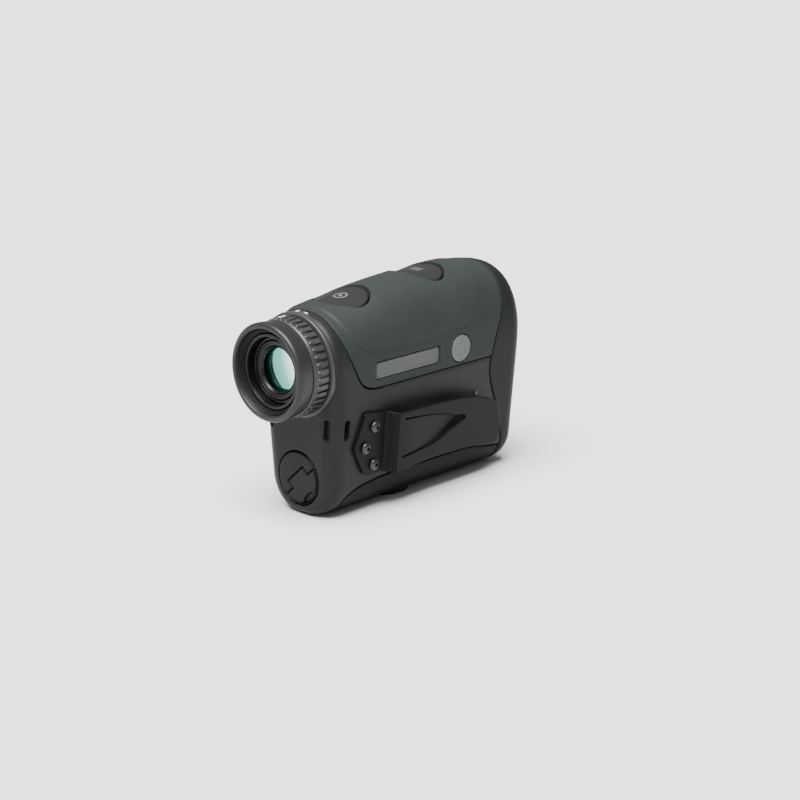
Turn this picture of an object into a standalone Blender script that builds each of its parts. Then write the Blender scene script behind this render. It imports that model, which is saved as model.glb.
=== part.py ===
"""Handheld laser rangefinder: a 7x25 monocular with a belt clip, in metres, +Y to the target and +Z up.

The origin is the centre of the tripod socket, on the boss face that the instrument stands on.
+X is the user's right-hand side, which carries the clip. The eyepiece looks along -Y.
"""

import math

import bmesh
import bpy
from mathutils import Vector

MM = 0.001

# Fits
GAP = 0.3 * MM  # clearance between two pieces that touch
SEAM = 0.3 * MM  # width of a parting line between two covers
REACH = 30 * MM  # how far a cutter passes outside the casing

# Casing envelope
FRONT_Y = 57.1 * MM
REAR_Y = -42.3 * MM
HALF_WIDTH = 19.9 * MM
WAIST_Z = 51.2 * MM  # widest height, where the crown starts
SIDE_DRAFT = 0.094  # the sides narrow by this slope below the waist
CROWN_Z = 79.6 * MM
CROWN_PEAK_Y = 32.2 * MM
CROWN_REAR_FALL = 4.74 * MM  # fall of the crown over CROWN_REAR_RUN behind its peak
CROWN_REAR_RUN = 60 * MM
CROWN_FRONT_FALL = 4.45 * MM
CROWN_FRONT_RUN = 30 * MM
CROWN_POWER = 2.3  # superellipse exponent of the crown
BELLY_Z = 0.5 * MM
BELLY_R = 13.0 * MM
FRONT_EDGE_R = 6.6 * MM
REAR_SIDE_R = 6.2 * MM
REAR_BELLY_R = 3.2 * MM
REAR_CROWN_R = 1.6 * MM
CROWN_BLEND = (43 * MM, 57 * MM)  # heights between which the rear edge radius changes
WALL = 3.0 * MM
BEZEL_WALL = 2.4 * MM
ARMOR = 1.6 * MM
CAVITY_Y = -31.5 * MM

# Parting lines of the covers on the side, as smooth curves in mm: (distance from the front or rear, z)
BEZEL_SEAM_BACK = [(11.1, 86.0), (10.2, 73.0), (12.6, 63.0), (16.6, 53.5), (19.2, 42.5),
                   (17.6, 34.5), (13.7, 26.0), (10.5, 16.5), (8.7, 8.5), (8.5, -4.0)]
ARMOR_SEAM_AHEAD = [(5.3, 86.0), (4.4, 72.0), (4.5, 67.0), (6.3, 60.5), (8.9, 53.8),
                    (12.1, 48.7), (15.9, 46.4), (21.3, 45.7)]
PAD_SEAM_AHEAD = [(6.3, -4.0), (6.6, 5.0), (8.7, 8.2), (12.8, 10.2), (19.3, 11.4), (30.3, 12.2)]
PAD_SEAM_BACK = [(43.1, 12.2), (27.1, 11.8), (18.1, 10.1), (10.5, 9.0)]
ARMOR_LOW_Z = 45.7 * MM
PAD_FRONT_Y = FRONT_Y - 9.7 * MM

# Sighting line
EYE_Z = 54.4 * MM
COLLAR_R = 18.5 * MM
COLLAR_END_Y = -43.1 * MM
OCULAR_BORE_R = 14.8 * MM
OCULAR_TUBE_R = 11.6 * MM
OCULAR_TUBE_WALL = 1.0 * MM
OCULAR_FLANGE_LENGTH = 8.5 * MM
EYECUP_END_Y = -57.1 * MM
EYECUP_R = 17.3 * MM
EYECUP_LENGTH = 6.4 * MM
EYECUP_LIP_R = 1.4 * MM
CARRIER_WALL = 1.3 * MM
CARRIER_SHORT = 2.7 * MM  # how far the carrier ends inside the eyecup's lip
OCULAR_TUBE_SHORT = 5.4 * MM
DIOPTER_R = 17.5 * MM
DIOPTER_LENGTH = 6.8 * MM
OCULAR_LENS_R = OCULAR_TUBE_R - OCULAR_TUBE_WALL - 0.4 * MM
OCULAR_LENS_Y = COLLAR_END_Y - 5.6 * MM
OCULAR_RETAINER_WALL = 2.4 * MM
FIELD_LENS_Y = COLLAR_END_Y + 5.1 * MM
FIELD_LENS_THICKNESS = 2.5 * MM
OCULAR_SEAL_R = 0.8 * MM
OBJECTIVE_APERTURE_R = 12.5 * MM
OBJECTIVE_LENS_R = OBJECTIVE_APERTURE_R + 1.4 * MM
OBJECTIVE_HOLE_R = OBJECTIVE_LENS_R + 0.7 * MM
LENS_RECESS = 0.7 * MM
RETAINER_THICKNESS = 2.5 * MM
BARREL_WALL = 1.2 * MM
BARREL_REAR_Y = 25 * MM
BARREL_FRONT_Y = FRONT_Y - FRONT_EDGE_R + 1 * MM

# Laser line
LASER_Z = EYE_Z - 28.9 * MM
LASER_APERTURE_R = 6.6 * MM
LASER_LENS_R = LASER_APERTURE_R + 0.8 * MM
LASER_HOLE_R = LASER_LENS_R + 1.1 * MM
LASER_BARREL_LENGTH = 15.5 * MM
TRANSCEIVER_HALF = 7 * MM
TRANSCEIVER_LENGTH = 8 * MM

# Buttons on the crown: centre y, half width, half length
MEASURE_BUTTON = (-20.8 * MM, 10.9 * MM, 10.2 * MM)
MENU_BUTTON = (18.2 * MM, 11.0 * MM, 9.4 * MM)
BUTTON_CLEARANCE = 0.5 * MM
BUTTON_RECESS = 0.4 * MM
BUTTON_HEIGHT = 3.2 * MM
BUTTON_TRAVEL = 0.8 * MM

# Battery and its cap on the rear face
CELL_R = 7.8 * MM
CELL_LENGTH = 27.0 * MM
CAP_SKIRT_R = CELL_R + 1.1 * MM
CAP_R = CAP_SKIRT_R + 0.8 * MM
CELL_Z = CAP_R + 3.9 * MM
CAP_PROUD = 0.2 * MM
CAP_HEAD = 3.6 * MM
CAP_SKIRT = 2.0 * MM
CAP_EDGE = 0.3 * MM
CONTACT_R = CELL_R - 0.9 * MM
TUBE_WALL = 0.8 * MM
TAB_THICKNESS = 1.8 * MM
TAB_ANGLE = math.radians(42)  # slope of the tab's hinge on the rear face
TAB_LINE = 1.5 * MM  # from the cap's centre out to the tab's straight edge
KNUCKLE_HALF_WIDTH = 4.6 * MM
KNUCKLE_REACH = 3.3 * MM
TAB_PIN_R = 0.35 * MM
TAB_PIN_CLEARANCE = 0.15 * MM
TAB_INSET = 0.9 * MM  # from the cap's edge to the tab's
NAIL_NOTCH_R = 7.0 * MM
NAIL_NOTCH_OUT = 3.9 * MM  # from the cap's edge out to the notch's centre
NAIL_NOTCH_DEPTH = 0.9 * MM

# Underside
BOSS_R = 9.6 * MM
BOSS_TOP_Z = 4.4 * MM  # the boss stands a little inside the casing's floor
SOCKET_R = 3.2 * MM  # 1/4 inch tripod thread
INSERT_R = 5.0 * MM
INSERT_WALL = 1.6 * MM
INSERT_LENGTH = 7.0 * MM
SOCKET_DEPTH = 6.0 * MM

# Belt clip, in a frame laid on the drafted side: y along the casing, v up the side, w out of it
CLIP_Z = 25.0 * MM
SHEET = 1.0 * MM
BELT_GAP = 4.6 * MM
CLIP_START_Y = -34.0 * MM
JOGGLE_Y = -17.9 * MM
JOGGLE_RUN = 2.0 * MM
CLIP_END_Y = 40.0 * MM
CLIP_BASE = [(-28.9, 12.6), (-31.0, 7.0), (-33.2, 1.4), (-33.1, 0.0), (-30.2, -5.5), (-28.0, -9.4),
             (-26.6, -10.2)]
CLIP_BOTTOM = [(-17.5, -10.6), (0.0, -9.3), (20.0, -9.6), (31.0, -10.8), (38.0, -11.4)]
CLIP_NOSE = [(39.6, -10.0), (40.0, -5.0), (38.9, 1.0), (37.8, 3.8), (35.0, 6.3)]
CLIP_TOP = [(29.3, 8.2), (22.3, 9.9), (11.7, 11.0), (1.0, 11.5), (-9.0, 11.7), (-17.5, 11.9),
            (-24.0, 12.8), (-27.3, 13.3)]
LANCE_TOP = [(-13.0, 9.4), (-3.0, 8.4), (6.0, 7.0), (14.4, 4.7)]
LANCE_BOTTOM = [(19.7, 2.5), (11.8, -0.4), (5.0, -3.0), (-3.6, -4.4), (-13.0, -5.3)]
LANCE_DEPTH = 2.4 * MM
SCREW_PLACES = [(-24.0, 7.5), (-28.0, 0.4), (-23.4, -6.6)]
SCREW_HEAD_R = 2.1 * MM
SCREW_HEAD = 1.3 * MM
SCREW_R = 0.9 * MM
SCREW_SOCKET_R = 0.8 * MM
SCREW_DEPTH = 2.2 * MM
STOP_PIN = (30.7 * MM, 33.0 * MM)  # y and z of the small pin above the clip
STOP_PIN_R = 0.8 * MM
STOP_PIN_SINK = 1.3 * MM
STOP_PIN_PROUD = 0.5 * MM

# Lanyard slots in the rear corners
SLOT_WIDTH = 2.5 * MM
SLOT_TOP_Z = EYE_Z - COLLAR_R + 1.0 * MM
SLOT_LOW_Z = SLOT_TOP_Z - 7.6 * MM
SLOT_X = HALF_WIDTH - 6.1 * MM
SLOT_Y = REAR_Y + 6.2 * MM

# Labels on the right side
PLATE_REAR_Y = -22.9 * MM
PLATE_FRONT_Y = 9.1 * MM
PLATE_LOW_Z = 49.1 * MM
PLATE_TOP_Z = 54.8 * MM
PLATE_SINK = 0.3 * MM
PLATE_THICKNESS = 0.6 * MM
BADGE_Y = 20.9 * MM
BADGE_Z = 52.0 * MM
BADGE_R = 5.0 * MM

# Inner parts
PRISM_SIZE = (20 * MM, 26 * MM, 22 * MM)
PRISM_Y = 1.0 * MM
PRISM_EDGE = 2.0 * MM
CAGE_WALL = 1.2 * MM
LIGHT_PATH_R = 8.5 * MM
DISPLAY_SIZE = (14 * MM, 1.5 * MM, 12 * MM)
DISPLAY_GAP = 2.0 * MM
BOARD_X = 8.8 * MM
BOARD_THICKNESS = 1.6 * MM
BOARD_Y = (-2.0 * MM, 34.0 * MM)
BOARD_Z = (8.0 * MM, EYE_Z - PRISM_SIZE[2] / 2 - CAGE_WALL - GAP - 3.9 * MM)
SHIELD_HALF = 6 * MM
SHIELD_HEIGHT = 2 * MM
BUTTON_BOARD_HALF = 6 * MM
BUTTON_BOARD_THICKNESS = 0.8 * MM
BUTTON_BOARD_END = 5 * MM
SWITCH_R = 2.5 * MM

COLORS = {
    "armor": ((0.085, 0.105, 0.090), 0.62, 0.0),
    "casing": ((0.060, 0.062, 0.062), 0.55, 0.0),
    "rubber": ((0.050, 0.052, 0.052), 0.70, 0.0),
    "button": ((0.030, 0.034, 0.034), 0.40, 0.0),
    "metal": ((0.120, 0.122, 0.125), 0.35, 0.9),
    "steel": ((0.550, 0.550, 0.560), 0.30, 1.0),
    "brass": ((0.720, 0.560, 0.280), 0.35, 1.0),
    "lens": ((0.100, 0.450, 0.400), 0.05, 0.0),
    "glass": ((0.800, 0.850, 0.850), 0.05, 0.0),
    "plate": ((0.180, 0.200, 0.190), 0.50, 0.3),
    "board": ((0.020, 0.160, 0.060), 0.50, 0.0),
    "cell": ((0.150, 0.150, 0.330), 0.35, 0.3),
}


# ---------------------------------------------------------------- scene and materials

def clear_scene():
    for obj in list(bpy.data.objects):
        bpy.data.objects.remove(obj, do_unlink=True)


def new_collection(name):
    collection = bpy.data.collections.new(name)
    bpy.context.scene.collection.children.link(collection)
    return collection


clear_scene()
PARTS = new_collection("laser_rangefinder")
CUTTERS = new_collection("cutters")


def finish_of(name, kind):
    """A Principled material of its own for the piece called name."""
    color, roughness, metallic = COLORS[kind]
    material = bpy.data.materials.new(name)
    material.use_nodes = True
    shader = material.node_tree.nodes["Principled BSDF"]
    shader.inputs["Base Color"].default_value = (*color, 1)
    shader.inputs["Roughness"].default_value = roughness
    shader.inputs["Metallic"].default_value = metallic
    return material


def new_object(name, mesh, kind=None):
    """An object in the parts' collection, or among the cutters when it has no kind."""
    obj = bpy.data.objects.new(name, mesh)
    if kind is None:
        CUTTERS.objects.link(obj)
        obj.hide_render = True
        obj.display_type = "WIRE"
    else:
        PARTS.objects.link(obj)
        mesh.materials.clear()
        mesh.materials.append(finish_of(name, kind))
        mesh.shade_smooth()
        mesh.set_sharp_from_angle(angle=math.radians(35))
    return obj


# ---------------------------------------------------------------- modelling helpers

def boolean(obj, other, operation="DIFFERENCE"):
    modifier = obj.modifiers.new(f"{operation.lower()}_{other.name}", "BOOLEAN")
    modifier.operation = operation
    modifier.solver = "EXACT"
    modifier.object = other


def cylinder(name, kind, radius, low, high, axis="Y", centre=(0, 0), steps=32):
    """A cylinder along an axis from low to high, whose centre is given in the other two axes."""
    work = bmesh.new()
    bmesh.ops.create_cone(work, cap_ends=True, segments=steps, radius1=radius, radius2=radius,
                          depth=high - low)
    mesh = bpy.data.meshes.new(name)
    work.to_mesh(mesh)
    work.free()
    obj = new_object(name, mesh, kind)
    middle = (low + high) / 2
    if axis == "Y":
        obj.rotation_euler = (math.pi / 2, 0, 0)
        obj.location = (centre[0], middle, centre[1])
    elif axis == "X":
        obj.rotation_euler = (0, math.pi / 2, 0)
        obj.location = (middle, centre[0], centre[1])
    else:
        obj.location = (centre[0], centre[1], middle)
    return obj


def box(name, kind, low, high):
    work = bmesh.new()
    bmesh.ops.create_cube(work, size=1)
    bmesh.ops.scale(work, verts=work.verts, vec=[b - a for a, b in zip(low, high)])
    bmesh.ops.translate(work, verts=work.verts, vec=[(a + b) / 2 for a, b in zip(low, high)])
    mesh = bpy.data.meshes.new(name)
    work.to_mesh(mesh)
    work.free()
    return new_object(name, mesh, kind)


def turned(name, kind, profile, centre=(0, 0), steps=32):
    """A ring or disc about an axis along Y, from its profile of (radius, y) points.

    The profile runs once round the section, down the outer side first when y is taken as up.
    """
    mesh = bpy.data.meshes.new(name)
    points = [(radius, 0, y) for radius, y in profile]
    closed = min(radius for radius, _ in profile) > 0
    edges = [(i, i + 1) for i in range(len(points) - 1)]
    if closed:
        edges.append((len(points) - 1, 0))
    mesh.from_pydata(points, edges, [])
    obj = new_object(name, mesh, kind)
    screw = obj.modifiers.new("screw", "SCREW")
    screw.steps = steps
    screw.render_steps = steps
    screw.use_merge_vertices = True
    screw.merge_threshold = 0.00001
    screw.use_smooth_shade = True
    obj.rotation_euler = (-math.pi / 2, 0, 0)
    obj.location = (centre[0], 0, centre[1])
    return obj


def ring(name, kind, inner, outer, low, high, centre=(0, 0), steps=32):
    """A plain tube about an axis along Y."""
    profile = [(outer, high), (outer, low), (inner, low), (inner, high)]
    return turned(name, kind, profile, centre, steps)


def smooth(points, spans=3):
    """Points in mm joined by a Catmull-Rom curve, returned in metres."""
    found = []
    ends = [points[0], *points, points[-1]]
    for before, start, end, after in zip(ends, ends[1:], ends[2:], ends[3:]):
        for step in range(spans):
            t = step / spans
            found.append(tuple(
                0.5 * MM * (2 * b + (c - a) * t + (2 * a - 5 * b + 4 * c - d) * t * t
                            + (3 * b - a - 3 * c + d) * t ** 3)
                for a, b, c, d in zip(before, start, end, after)))
    found.append((points[-1][0] * MM, points[-1][1] * MM))
    return found


def outline_solid(name, kind, outline, thickness, rotation=(0, 0, 0), place=(0, 0, 0)):
    """A flat outline extruded both ways by half its thickness, as a mesh object."""
    curve = bpy.data.curves.new(name, "CURVE")
    curve.dimensions = "2D"
    curve.fill_mode = "BOTH"
    curve.extrude = thickness / 2
    spline = curve.splines.new("POLY")
    spline.points.add(len(outline) - 1)
    for point, (x, y) in zip(spline.points, outline):
        point.co = (x, y, 0, 1)
    spline.use_cyclic_u = True
    drawn = bpy.data.objects.new(name + "_outline", curve)
    bpy.context.scene.collection.objects.link(drawn)
    graph = bpy.context.evaluated_depsgraph_get()
    mesh = bpy.data.meshes.new_from_object(drawn.evaluated_get(graph))
    bpy.data.objects.remove(drawn, do_unlink=True)
    work = bmesh.new()
    work.from_mesh(mesh)
    bmesh.ops.remove_doubles(work, verts=work.verts, dist=0.000001)
    bmesh.ops.recalc_face_normals(work, faces=work.faces)
    work.to_mesh(mesh)
    work.free()
    obj = new_object(name, mesh, kind)
    obj.rotation_euler = rotation
    obj.location = place
    return obj


def side_solid(name, outline, kind=None, half=REACH):
    """An outline drawn on the side, in (y, z), and extruded across the casing."""
    return outline_solid(name, kind, outline, 2 * half, (math.pi / 2, 0, math.pi / 2))


def shifted(outline, dy=0.0, dz=0.0):
    return [(y + dy, z + dz) for y, z in outline]


# ---------------------------------------------------------------- the casing's form

def crown_height(y):
    behind = max(0, CROWN_PEAK_Y - y) / CROWN_REAR_RUN
    ahead = max(0, y - CROWN_PEAK_Y) / CROWN_FRONT_RUN
    return CROWN_Z - CROWN_REAR_FALL * behind ** 2 - CROWN_FRONT_FALL * ahead ** 2


def side_x(z):
    """Half width of the casing on its drafted side."""
    return HALF_WIDTH - SIDE_DRAFT * (WAIST_Z - z)


def half_section(y, around):
    """(x, z, normal x, normal z) down the right half of the section, from the crown to the belly."""
    rise = crown_height(y) - WAIST_Z
    found = []
    for step in range(around + 1):
        angle = math.pi / 2 * (1 - step / around)
        across, up = math.cos(angle), math.sin(angle)
        x = HALF_WIDTH * across ** (2 / CROWN_POWER)
        z = WAIST_Z + rise * up ** (2 / CROWN_POWER)
        normal = Vector((across ** (2 - 2 / CROWN_POWER) / HALF_WIDTH,
                         up ** (2 - 2 / CROWN_POWER) / rise)).normalized()
        found.append((x, z, normal.x, normal.y))
    lean = math.atan(SIDE_DRAFT)
    centre_z = BELLY_Z + BELLY_R
    centre_x = side_x(centre_z) - BELLY_R * math.hypot(1, SIDE_DRAFT)
    tangent_z = centre_z - BELLY_R * math.sin(lean)
    for step in range(1, 4):
        z = WAIST_Z + (tangent_z - WAIST_Z) * step / 4
        found.append((side_x(z), z, math.cos(lean), -math.sin(lean)))
    for step in range(around // 2 + 1):
        angle = lean + (math.pi / 2 - lean) * step / (around // 2)
        across, down = math.cos(angle), math.sin(angle)
        found.append((centre_x + BELLY_R * across, centre_z - BELLY_R * down, across, -down))
    found.append((0, BELLY_Z, 0, -1))
    return found


def rear_radius(z, side):
    """Radius of the rear edge: small round the crown, larger on the sides, less on the belly."""
    low, high = CROWN_BLEND
    share = min(1, max(0, (z - low) / (high - low)))
    share = share * share * (3 - 2 * share)
    below = REAR_BELLY_R + (REAR_SIDE_R - REAR_BELLY_R) * abs(side)
    return below + (REAR_CROWN_R - below) * share


def edge_inset(distance, radius):
    """How far a rounded end is drawn in at a distance from its flat."""
    if distance >= radius:
        return 0
    return radius - math.sqrt(max(0, radius ** 2 - (radius - distance) ** 2))


def stations(start, end, offset, count):
    """Places of the sections along Y, closer together round the two ends."""
    rear = max(start, REAR_Y + offset)
    front = min(end, FRONT_Y - offset)
    places = [rear + (front - rear) * step / count for step in range(count + 1)]
    for edge, sense, radius in ((REAR_Y + offset, 1, REAR_SIDE_R), (FRONT_Y - offset, -1, FRONT_EDGE_R)):
        for step in range(5):
            place = edge + sense * (radius - offset) * (1 - math.cos(math.pi / 2 * step / 4))
            if rear <= place <= front:
                places.append(place)
    places.sort()
    kept = [places[0]]
    for place in places[1:]:
        if place - kept[-1] > 0.2 * MM:
            kept.append(place)
    kept[-1] = places[-1]
    return kept


def casing_solid(name, offset=0.0, start=-1.0, end=1.0, kind=None, around=9, count=9):
    """The casing's form drawn in by offset, between two places along Y, as a loft of its sections."""
    work = bmesh.new()
    loops = []
    for y in stations(start, end, offset, count):
        half = []
        for x, z, normal_x, normal_z in half_section(y, around):
            rear = max(0.3 * MM, rear_radius(z, normal_x) - offset)
            front = max(0.3 * MM, FRONT_EDGE_R - offset)
            inset = offset + edge_inset(y - REAR_Y - offset, rear)
            inset += edge_inset(FRONT_Y - offset - y, front)
            half.append((x - normal_x * inset, z - normal_z * inset))
        whole = half + [(-x, z) for x, z in half[-2:0:-1]]
        loops.append([work.verts.new((x, y, z)) for x, z in whole])
    for one, two in zip(loops, loops[1:]):
        for index in range(len(one)):
            after = (index + 1) % len(one)
            work.faces.new((one[index], one[after], two[after], two[index]))
    work.faces.new(loops[0])
    work.faces.new(loops[-1])
    bmesh.ops.recalc_face_normals(work, faces=work.faces)
    mesh = bpy.data.meshes.new(name)
    work.to_mesh(mesh)
    work.free()
    return new_object(name, mesh, kind)


# ---------------------------------------------------------------- shared cutters

def ellipse(half_x, half_y, centre_y, steps=32):
    turns = [2 * math.pi * step / steps for step in range(steps)]
    return [(half_x * math.cos(turn), centre_y + half_y * math.sin(turn)) for turn in turns]


def crown_cutter(name, button, margin, low_z):
    """An upright elliptic cylinder through the crown at a button."""
    centre_y, half_x, half_y = button
    outline = ellipse(half_x + margin, half_y + margin, centre_y)
    height = CROWN_Z + REACH - low_z
    return outline_solid(name, None, outline, height, place=(0, 0, low_z + height / 2))


def from_front(places):
    return [(FRONT_Y / MM - back, z) for back, z in places]


def from_rear(places):
    return [(REAR_Y / MM + ahead, z) for ahead, z in places]


BEZEL_CURVE = smooth(from_front(BEZEL_SEAM_BACK))
REAR_CURVE = smooth(from_rear(ARMOR_SEAM_AHEAD))
PAD_CURVE = smooth(from_rear(PAD_SEAM_AHEAD) + from_front(PAD_SEAM_BACK))


def front_region(name, shift):
    """Everything ahead of the bezel's parting line."""
    outline = shifted(BEZEL_CURVE, shift)
    return side_solid(name, [*outline, (FRONT_Y + REACH, outline[-1][1]), (FRONT_Y + REACH, outline[0][1])])


def top_region(name, margin, front_shift):
    """The side view of the top armour, grown by margin, with its front moved from the bezel's seam."""
    rear = shifted(REAR_CURVE, -margin, -margin)
    front = [point for point in shifted(BEZEL_CURVE, front_shift) if point[1] > ARMOR_LOW_Z]
    return side_solid(name, [*rear, (front[-1][0], ARMOR_LOW_Z - margin), *reversed(front)])


def pad_region(name, margin):
    """The side view of the bottom armour, grown by margin."""
    upper = shifted(PAD_CURVE, -margin, margin)
    return side_solid(name, [*upper, (PAD_FRONT_Y + margin, upper[-1][1]), (PAD_FRONT_Y + margin, -4 * MM)])


def bed(name, region):
    """The part of a region outside the armour's bed in the casing."""
    boolean(region, casing_solid(name + "_core", ARMOR + GAP))
    return region


# ---------------------------------------------------------------- covers

def make_main_housing():
    housing = casing_solid("main_housing", kind="casing")
    boolean(housing, cylinder("collar_stock", None, COLLAR_R, COLLAR_END_Y, REAR_Y + REAR_SIDE_R,
                              centre=(0, EYE_Z), steps=64), "UNION")
    boolean(housing, front_region("housing_front_cut", -SEAM / 2))
    boolean(housing, bed("pad_bed", pad_region("pad_bed", 0)))
    boolean(housing, bed("top_bed", top_region("top_bed", 0, 2 * MM)))
    boolean(housing, casing_solid("cavity", WALL, CAVITY_Y, around=6, count=5))
    boolean(housing, cylinder("boss_stock", None, BOSS_R, 0, BOSS_TOP_Z, "Z", steps=40), "UNION")
    boolean(housing, cylinder("insert_stock", None, INSERT_R + INSERT_WALL, 1 * MM,
                              INSERT_LENGTH + INSERT_WALL, "Z"), "UNION")
    boolean(housing, cylinder("ocular_bore", None, OCULAR_BORE_R, REAR_Y - REACH, CAVITY_Y + 1 * MM,
                              centre=(0, EYE_Z), steps=40))
    boolean(housing, cylinder("cap_bore", None, CAP_R + GAP, REAR_Y - REACH, cap_shoulder_y(),
                              centre=(0, CELL_Z), steps=40))
    boolean(housing, cylinder("cell_bore", None, CAP_SKIRT_R + GAP, REAR_Y - REACH, CAVITY_Y + 1 * MM,
                              centre=(0, CELL_Z), steps=40))
    boolean(housing, cylinder("insert_bore", None, INSERT_R + GAP, -1 * MM, INSERT_LENGTH + GAP, "Z"))
    for name, button in (("measure", MEASURE_BUTTON), ("menu", MENU_BUTTON)):
        boolean(housing, crown_cutter(name + "_well", button, 0, WAIST_Z))
    for sense in (-1, 1):
        cut_lanyard_slot(housing, sense)
    for index, place in enumerate(SCREW_PLACES, 1):
        boolean(housing, clip_cylinder(f"screw_hole_{index}", None, SCREW_R + GAP, -SCREW_DEPTH - GAP,
                                       2 * MM, place, 12))
    boolean(housing, cylinder("pin_hole", None, STOP_PIN_R + GAP, side_x(STOP_PIN[1]) - STOP_PIN_SINK - GAP,
                              REACH, "X", STOP_PIN, steps=12))
    for modifier in housing.modifiers:  # the exact solver loses this many thin walls
        modifier.solver = "MANIFOLD"


def cap_shoulder_y():
    """Face in the housing that the battery cap's seal is pressed on."""
    return REAR_Y - CAP_PROUD + CAP_HEAD + 3 * GAP


def cut_lanyard_slot(housing, sense):
    """A slot in the rear face that turns the corner to a slot in the side, round a corner post."""
    half = SLOT_WIDTH / 2
    name = "right" if sense > 0 else "left"
    inner, outer = sense * (SLOT_X - half), sense * (SLOT_X + half)
    low_x, high_x = min(inner, outer), max(inner, outer)
    boolean(housing, box(f"rear_slot_{name}", None, (low_x, REAR_Y - 2 * MM, SLOT_LOW_Z),
                         (high_x, SLOT_Y + half, SLOT_TOP_Z)))
    reach = sense * (HALF_WIDTH + 2 * MM)
    low_x, high_x = min(inner, reach), max(inner, reach)
    boolean(housing, box(f"side_slot_{name}", None, (low_x, SLOT_Y - half, SLOT_LOW_Z + 0.01 * MM),
                         (high_x, SLOT_Y + half + 0.01 * MM, SLOT_TOP_Z - 0.01 * MM)))


def make_top_armor():
    armor = casing_solid("top_armor", kind="armor")
    boolean(armor, top_region("top_armor_outline", -SEAM, -1.5 * SEAM), "INTERSECT")
    boolean(armor, casing_solid("top_armor_core", ARMOR))
    for name, button in (("measure", MEASURE_BUTTON), ("menu", MENU_BUTTON)):
        boolean(armor, crown_cutter(name + "_mouth", button, 0, WAIST_Z))
    pocket = box("plate_pocket", None, (0, PLATE_REAR_Y - GAP, PLATE_LOW_Z - GAP),
                 (REACH, PLATE_FRONT_Y + GAP, PLATE_TOP_Z + GAP))
    boolean(pocket, casing_solid("plate_floor", PLATE_SINK + PLATE_THICKNESS + GAP))
    boolean(armor, pocket)
    well = cylinder("badge_pocket", None, BADGE_R + GAP, 0, REACH, "X", (BADGE_Y, BADGE_Z))
    boolean(well, casing_solid("badge_floor", PLATE_SINK + PLATE_THICKNESS + GAP))
    boolean(armor, well)
    return armor


def make_bottom_armor():
    pad = casing_solid("bottom_armor", kind="armor")
    boolean(pad, pad_region("pad_outline", -SEAM), "INTERSECT")
    boolean(pad, casing_solid("pad_core", ARMOR))
    boolean(pad, cylinder("boss_window", None, BOSS_R + GAP, -1 * MM, BELLY_R, "Z", steps=40))


def make_front_bezel():
    bezel = casing_solid("front_bezel", kind="casing")
    boolean(bezel, front_region("bezel_outline", SEAM / 2), "INTERSECT")
    boolean(bezel, casing_solid("bezel_core", BEZEL_WALL, around=7, count=6))
    boolean(bezel, cylinder("objective_hole", None, OBJECTIVE_HOLE_R, FRONT_Y - 2 * BEZEL_WALL,
                            FRONT_Y + REACH, centre=(0, EYE_Z), steps=40))
    boolean(bezel, cylinder("laser_hole", None, LASER_HOLE_R, FRONT_Y - 2 * BEZEL_WALL, FRONT_Y + REACH,
                            centre=(0, LASER_Z)))


def make_labels():
    plate = casing_solid("nameplate", PLATE_SINK, kind="plate")
    boolean(plate, box("plate_outline", None, (0, PLATE_REAR_Y, PLATE_LOW_Z),
                       (REACH, PLATE_FRONT_Y, PLATE_TOP_Z)), "INTERSECT")
    boolean(plate, casing_solid("plate_back", PLATE_SINK + PLATE_THICKNESS))
    badge = casing_solid("badge", 0, kind="plate")
    boolean(badge, cylinder("badge_outline", None, BADGE_R, 0, REACH, "X", (BADGE_Y, BADGE_Z)), "INTERSECT")
    boolean(badge, casing_solid("badge_back", PLATE_SINK + PLATE_THICKNESS))


# ---------------------------------------------------------------- optics

def lens_profile(radius, rear, front, rear_bulge, front_bulge):
    """Half of a lens section from its front apex round its edge to its rear apex."""
    share = [0, 0.55, 1]
    face = [(radius * s, front + front_bulge * (1 - s * s)) for s in share]
    back = [(radius * s, rear - rear_bulge * (1 - s * s)) for s in reversed(share)]
    return [*face, *back]


def make_objective():
    seat = FRONT_Y - LENS_RECESS
    ring("objective_retainer", "metal", OBJECTIVE_APERTURE_R, OBJECTIVE_HOLE_R - GAP,
         seat - RETAINER_THICKNESS, seat, (0, EYE_Z))
    bulge = 1.2 * MM
    front = seat - RETAINER_THICKNESS - GAP - bulge
    turned("objective_lens", "lens", lens_profile(OBJECTIVE_LENS_R, front - 2.6 * MM, front, 0.8 * MM, bulge),
           (0, EYE_Z))
    inner = OBJECTIVE_LENS_R + GAP
    ring("objective_barrel", "metal", inner, inner + BARREL_WALL, BARREL_REAR_Y, BARREL_FRONT_Y,
         (0, EYE_Z), steps=32)


def make_laser():
    seat = FRONT_Y - LENS_RECESS
    ring("laser_retainer", "metal", LASER_APERTURE_R, LASER_HOLE_R - GAP, seat - RETAINER_THICKNESS, seat,
         (0, LASER_Z))
    bulge = 0.8 * MM
    front = seat - RETAINER_THICKNESS - GAP - bulge
    turned("laser_lens", "lens", lens_profile(LASER_LENS_R, front - 2.0 * MM, front, 0.3 * MM, bulge),
           (0, LASER_Z))
    inner = LASER_LENS_R + GAP
    rear = BARREL_FRONT_Y - LASER_BARREL_LENGTH
    ring("laser_barrel", "metal", inner, inner + BARREL_WALL, rear, BARREL_FRONT_Y, (0, LASER_Z),
         steps=24)
    size = TRANSCEIVER_HALF
    box("laser_transceiver", "board", (-size, rear - GAP - TRANSCEIVER_LENGTH, LASER_Z - size),
        (size, rear - GAP, LASER_Z + size))


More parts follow.
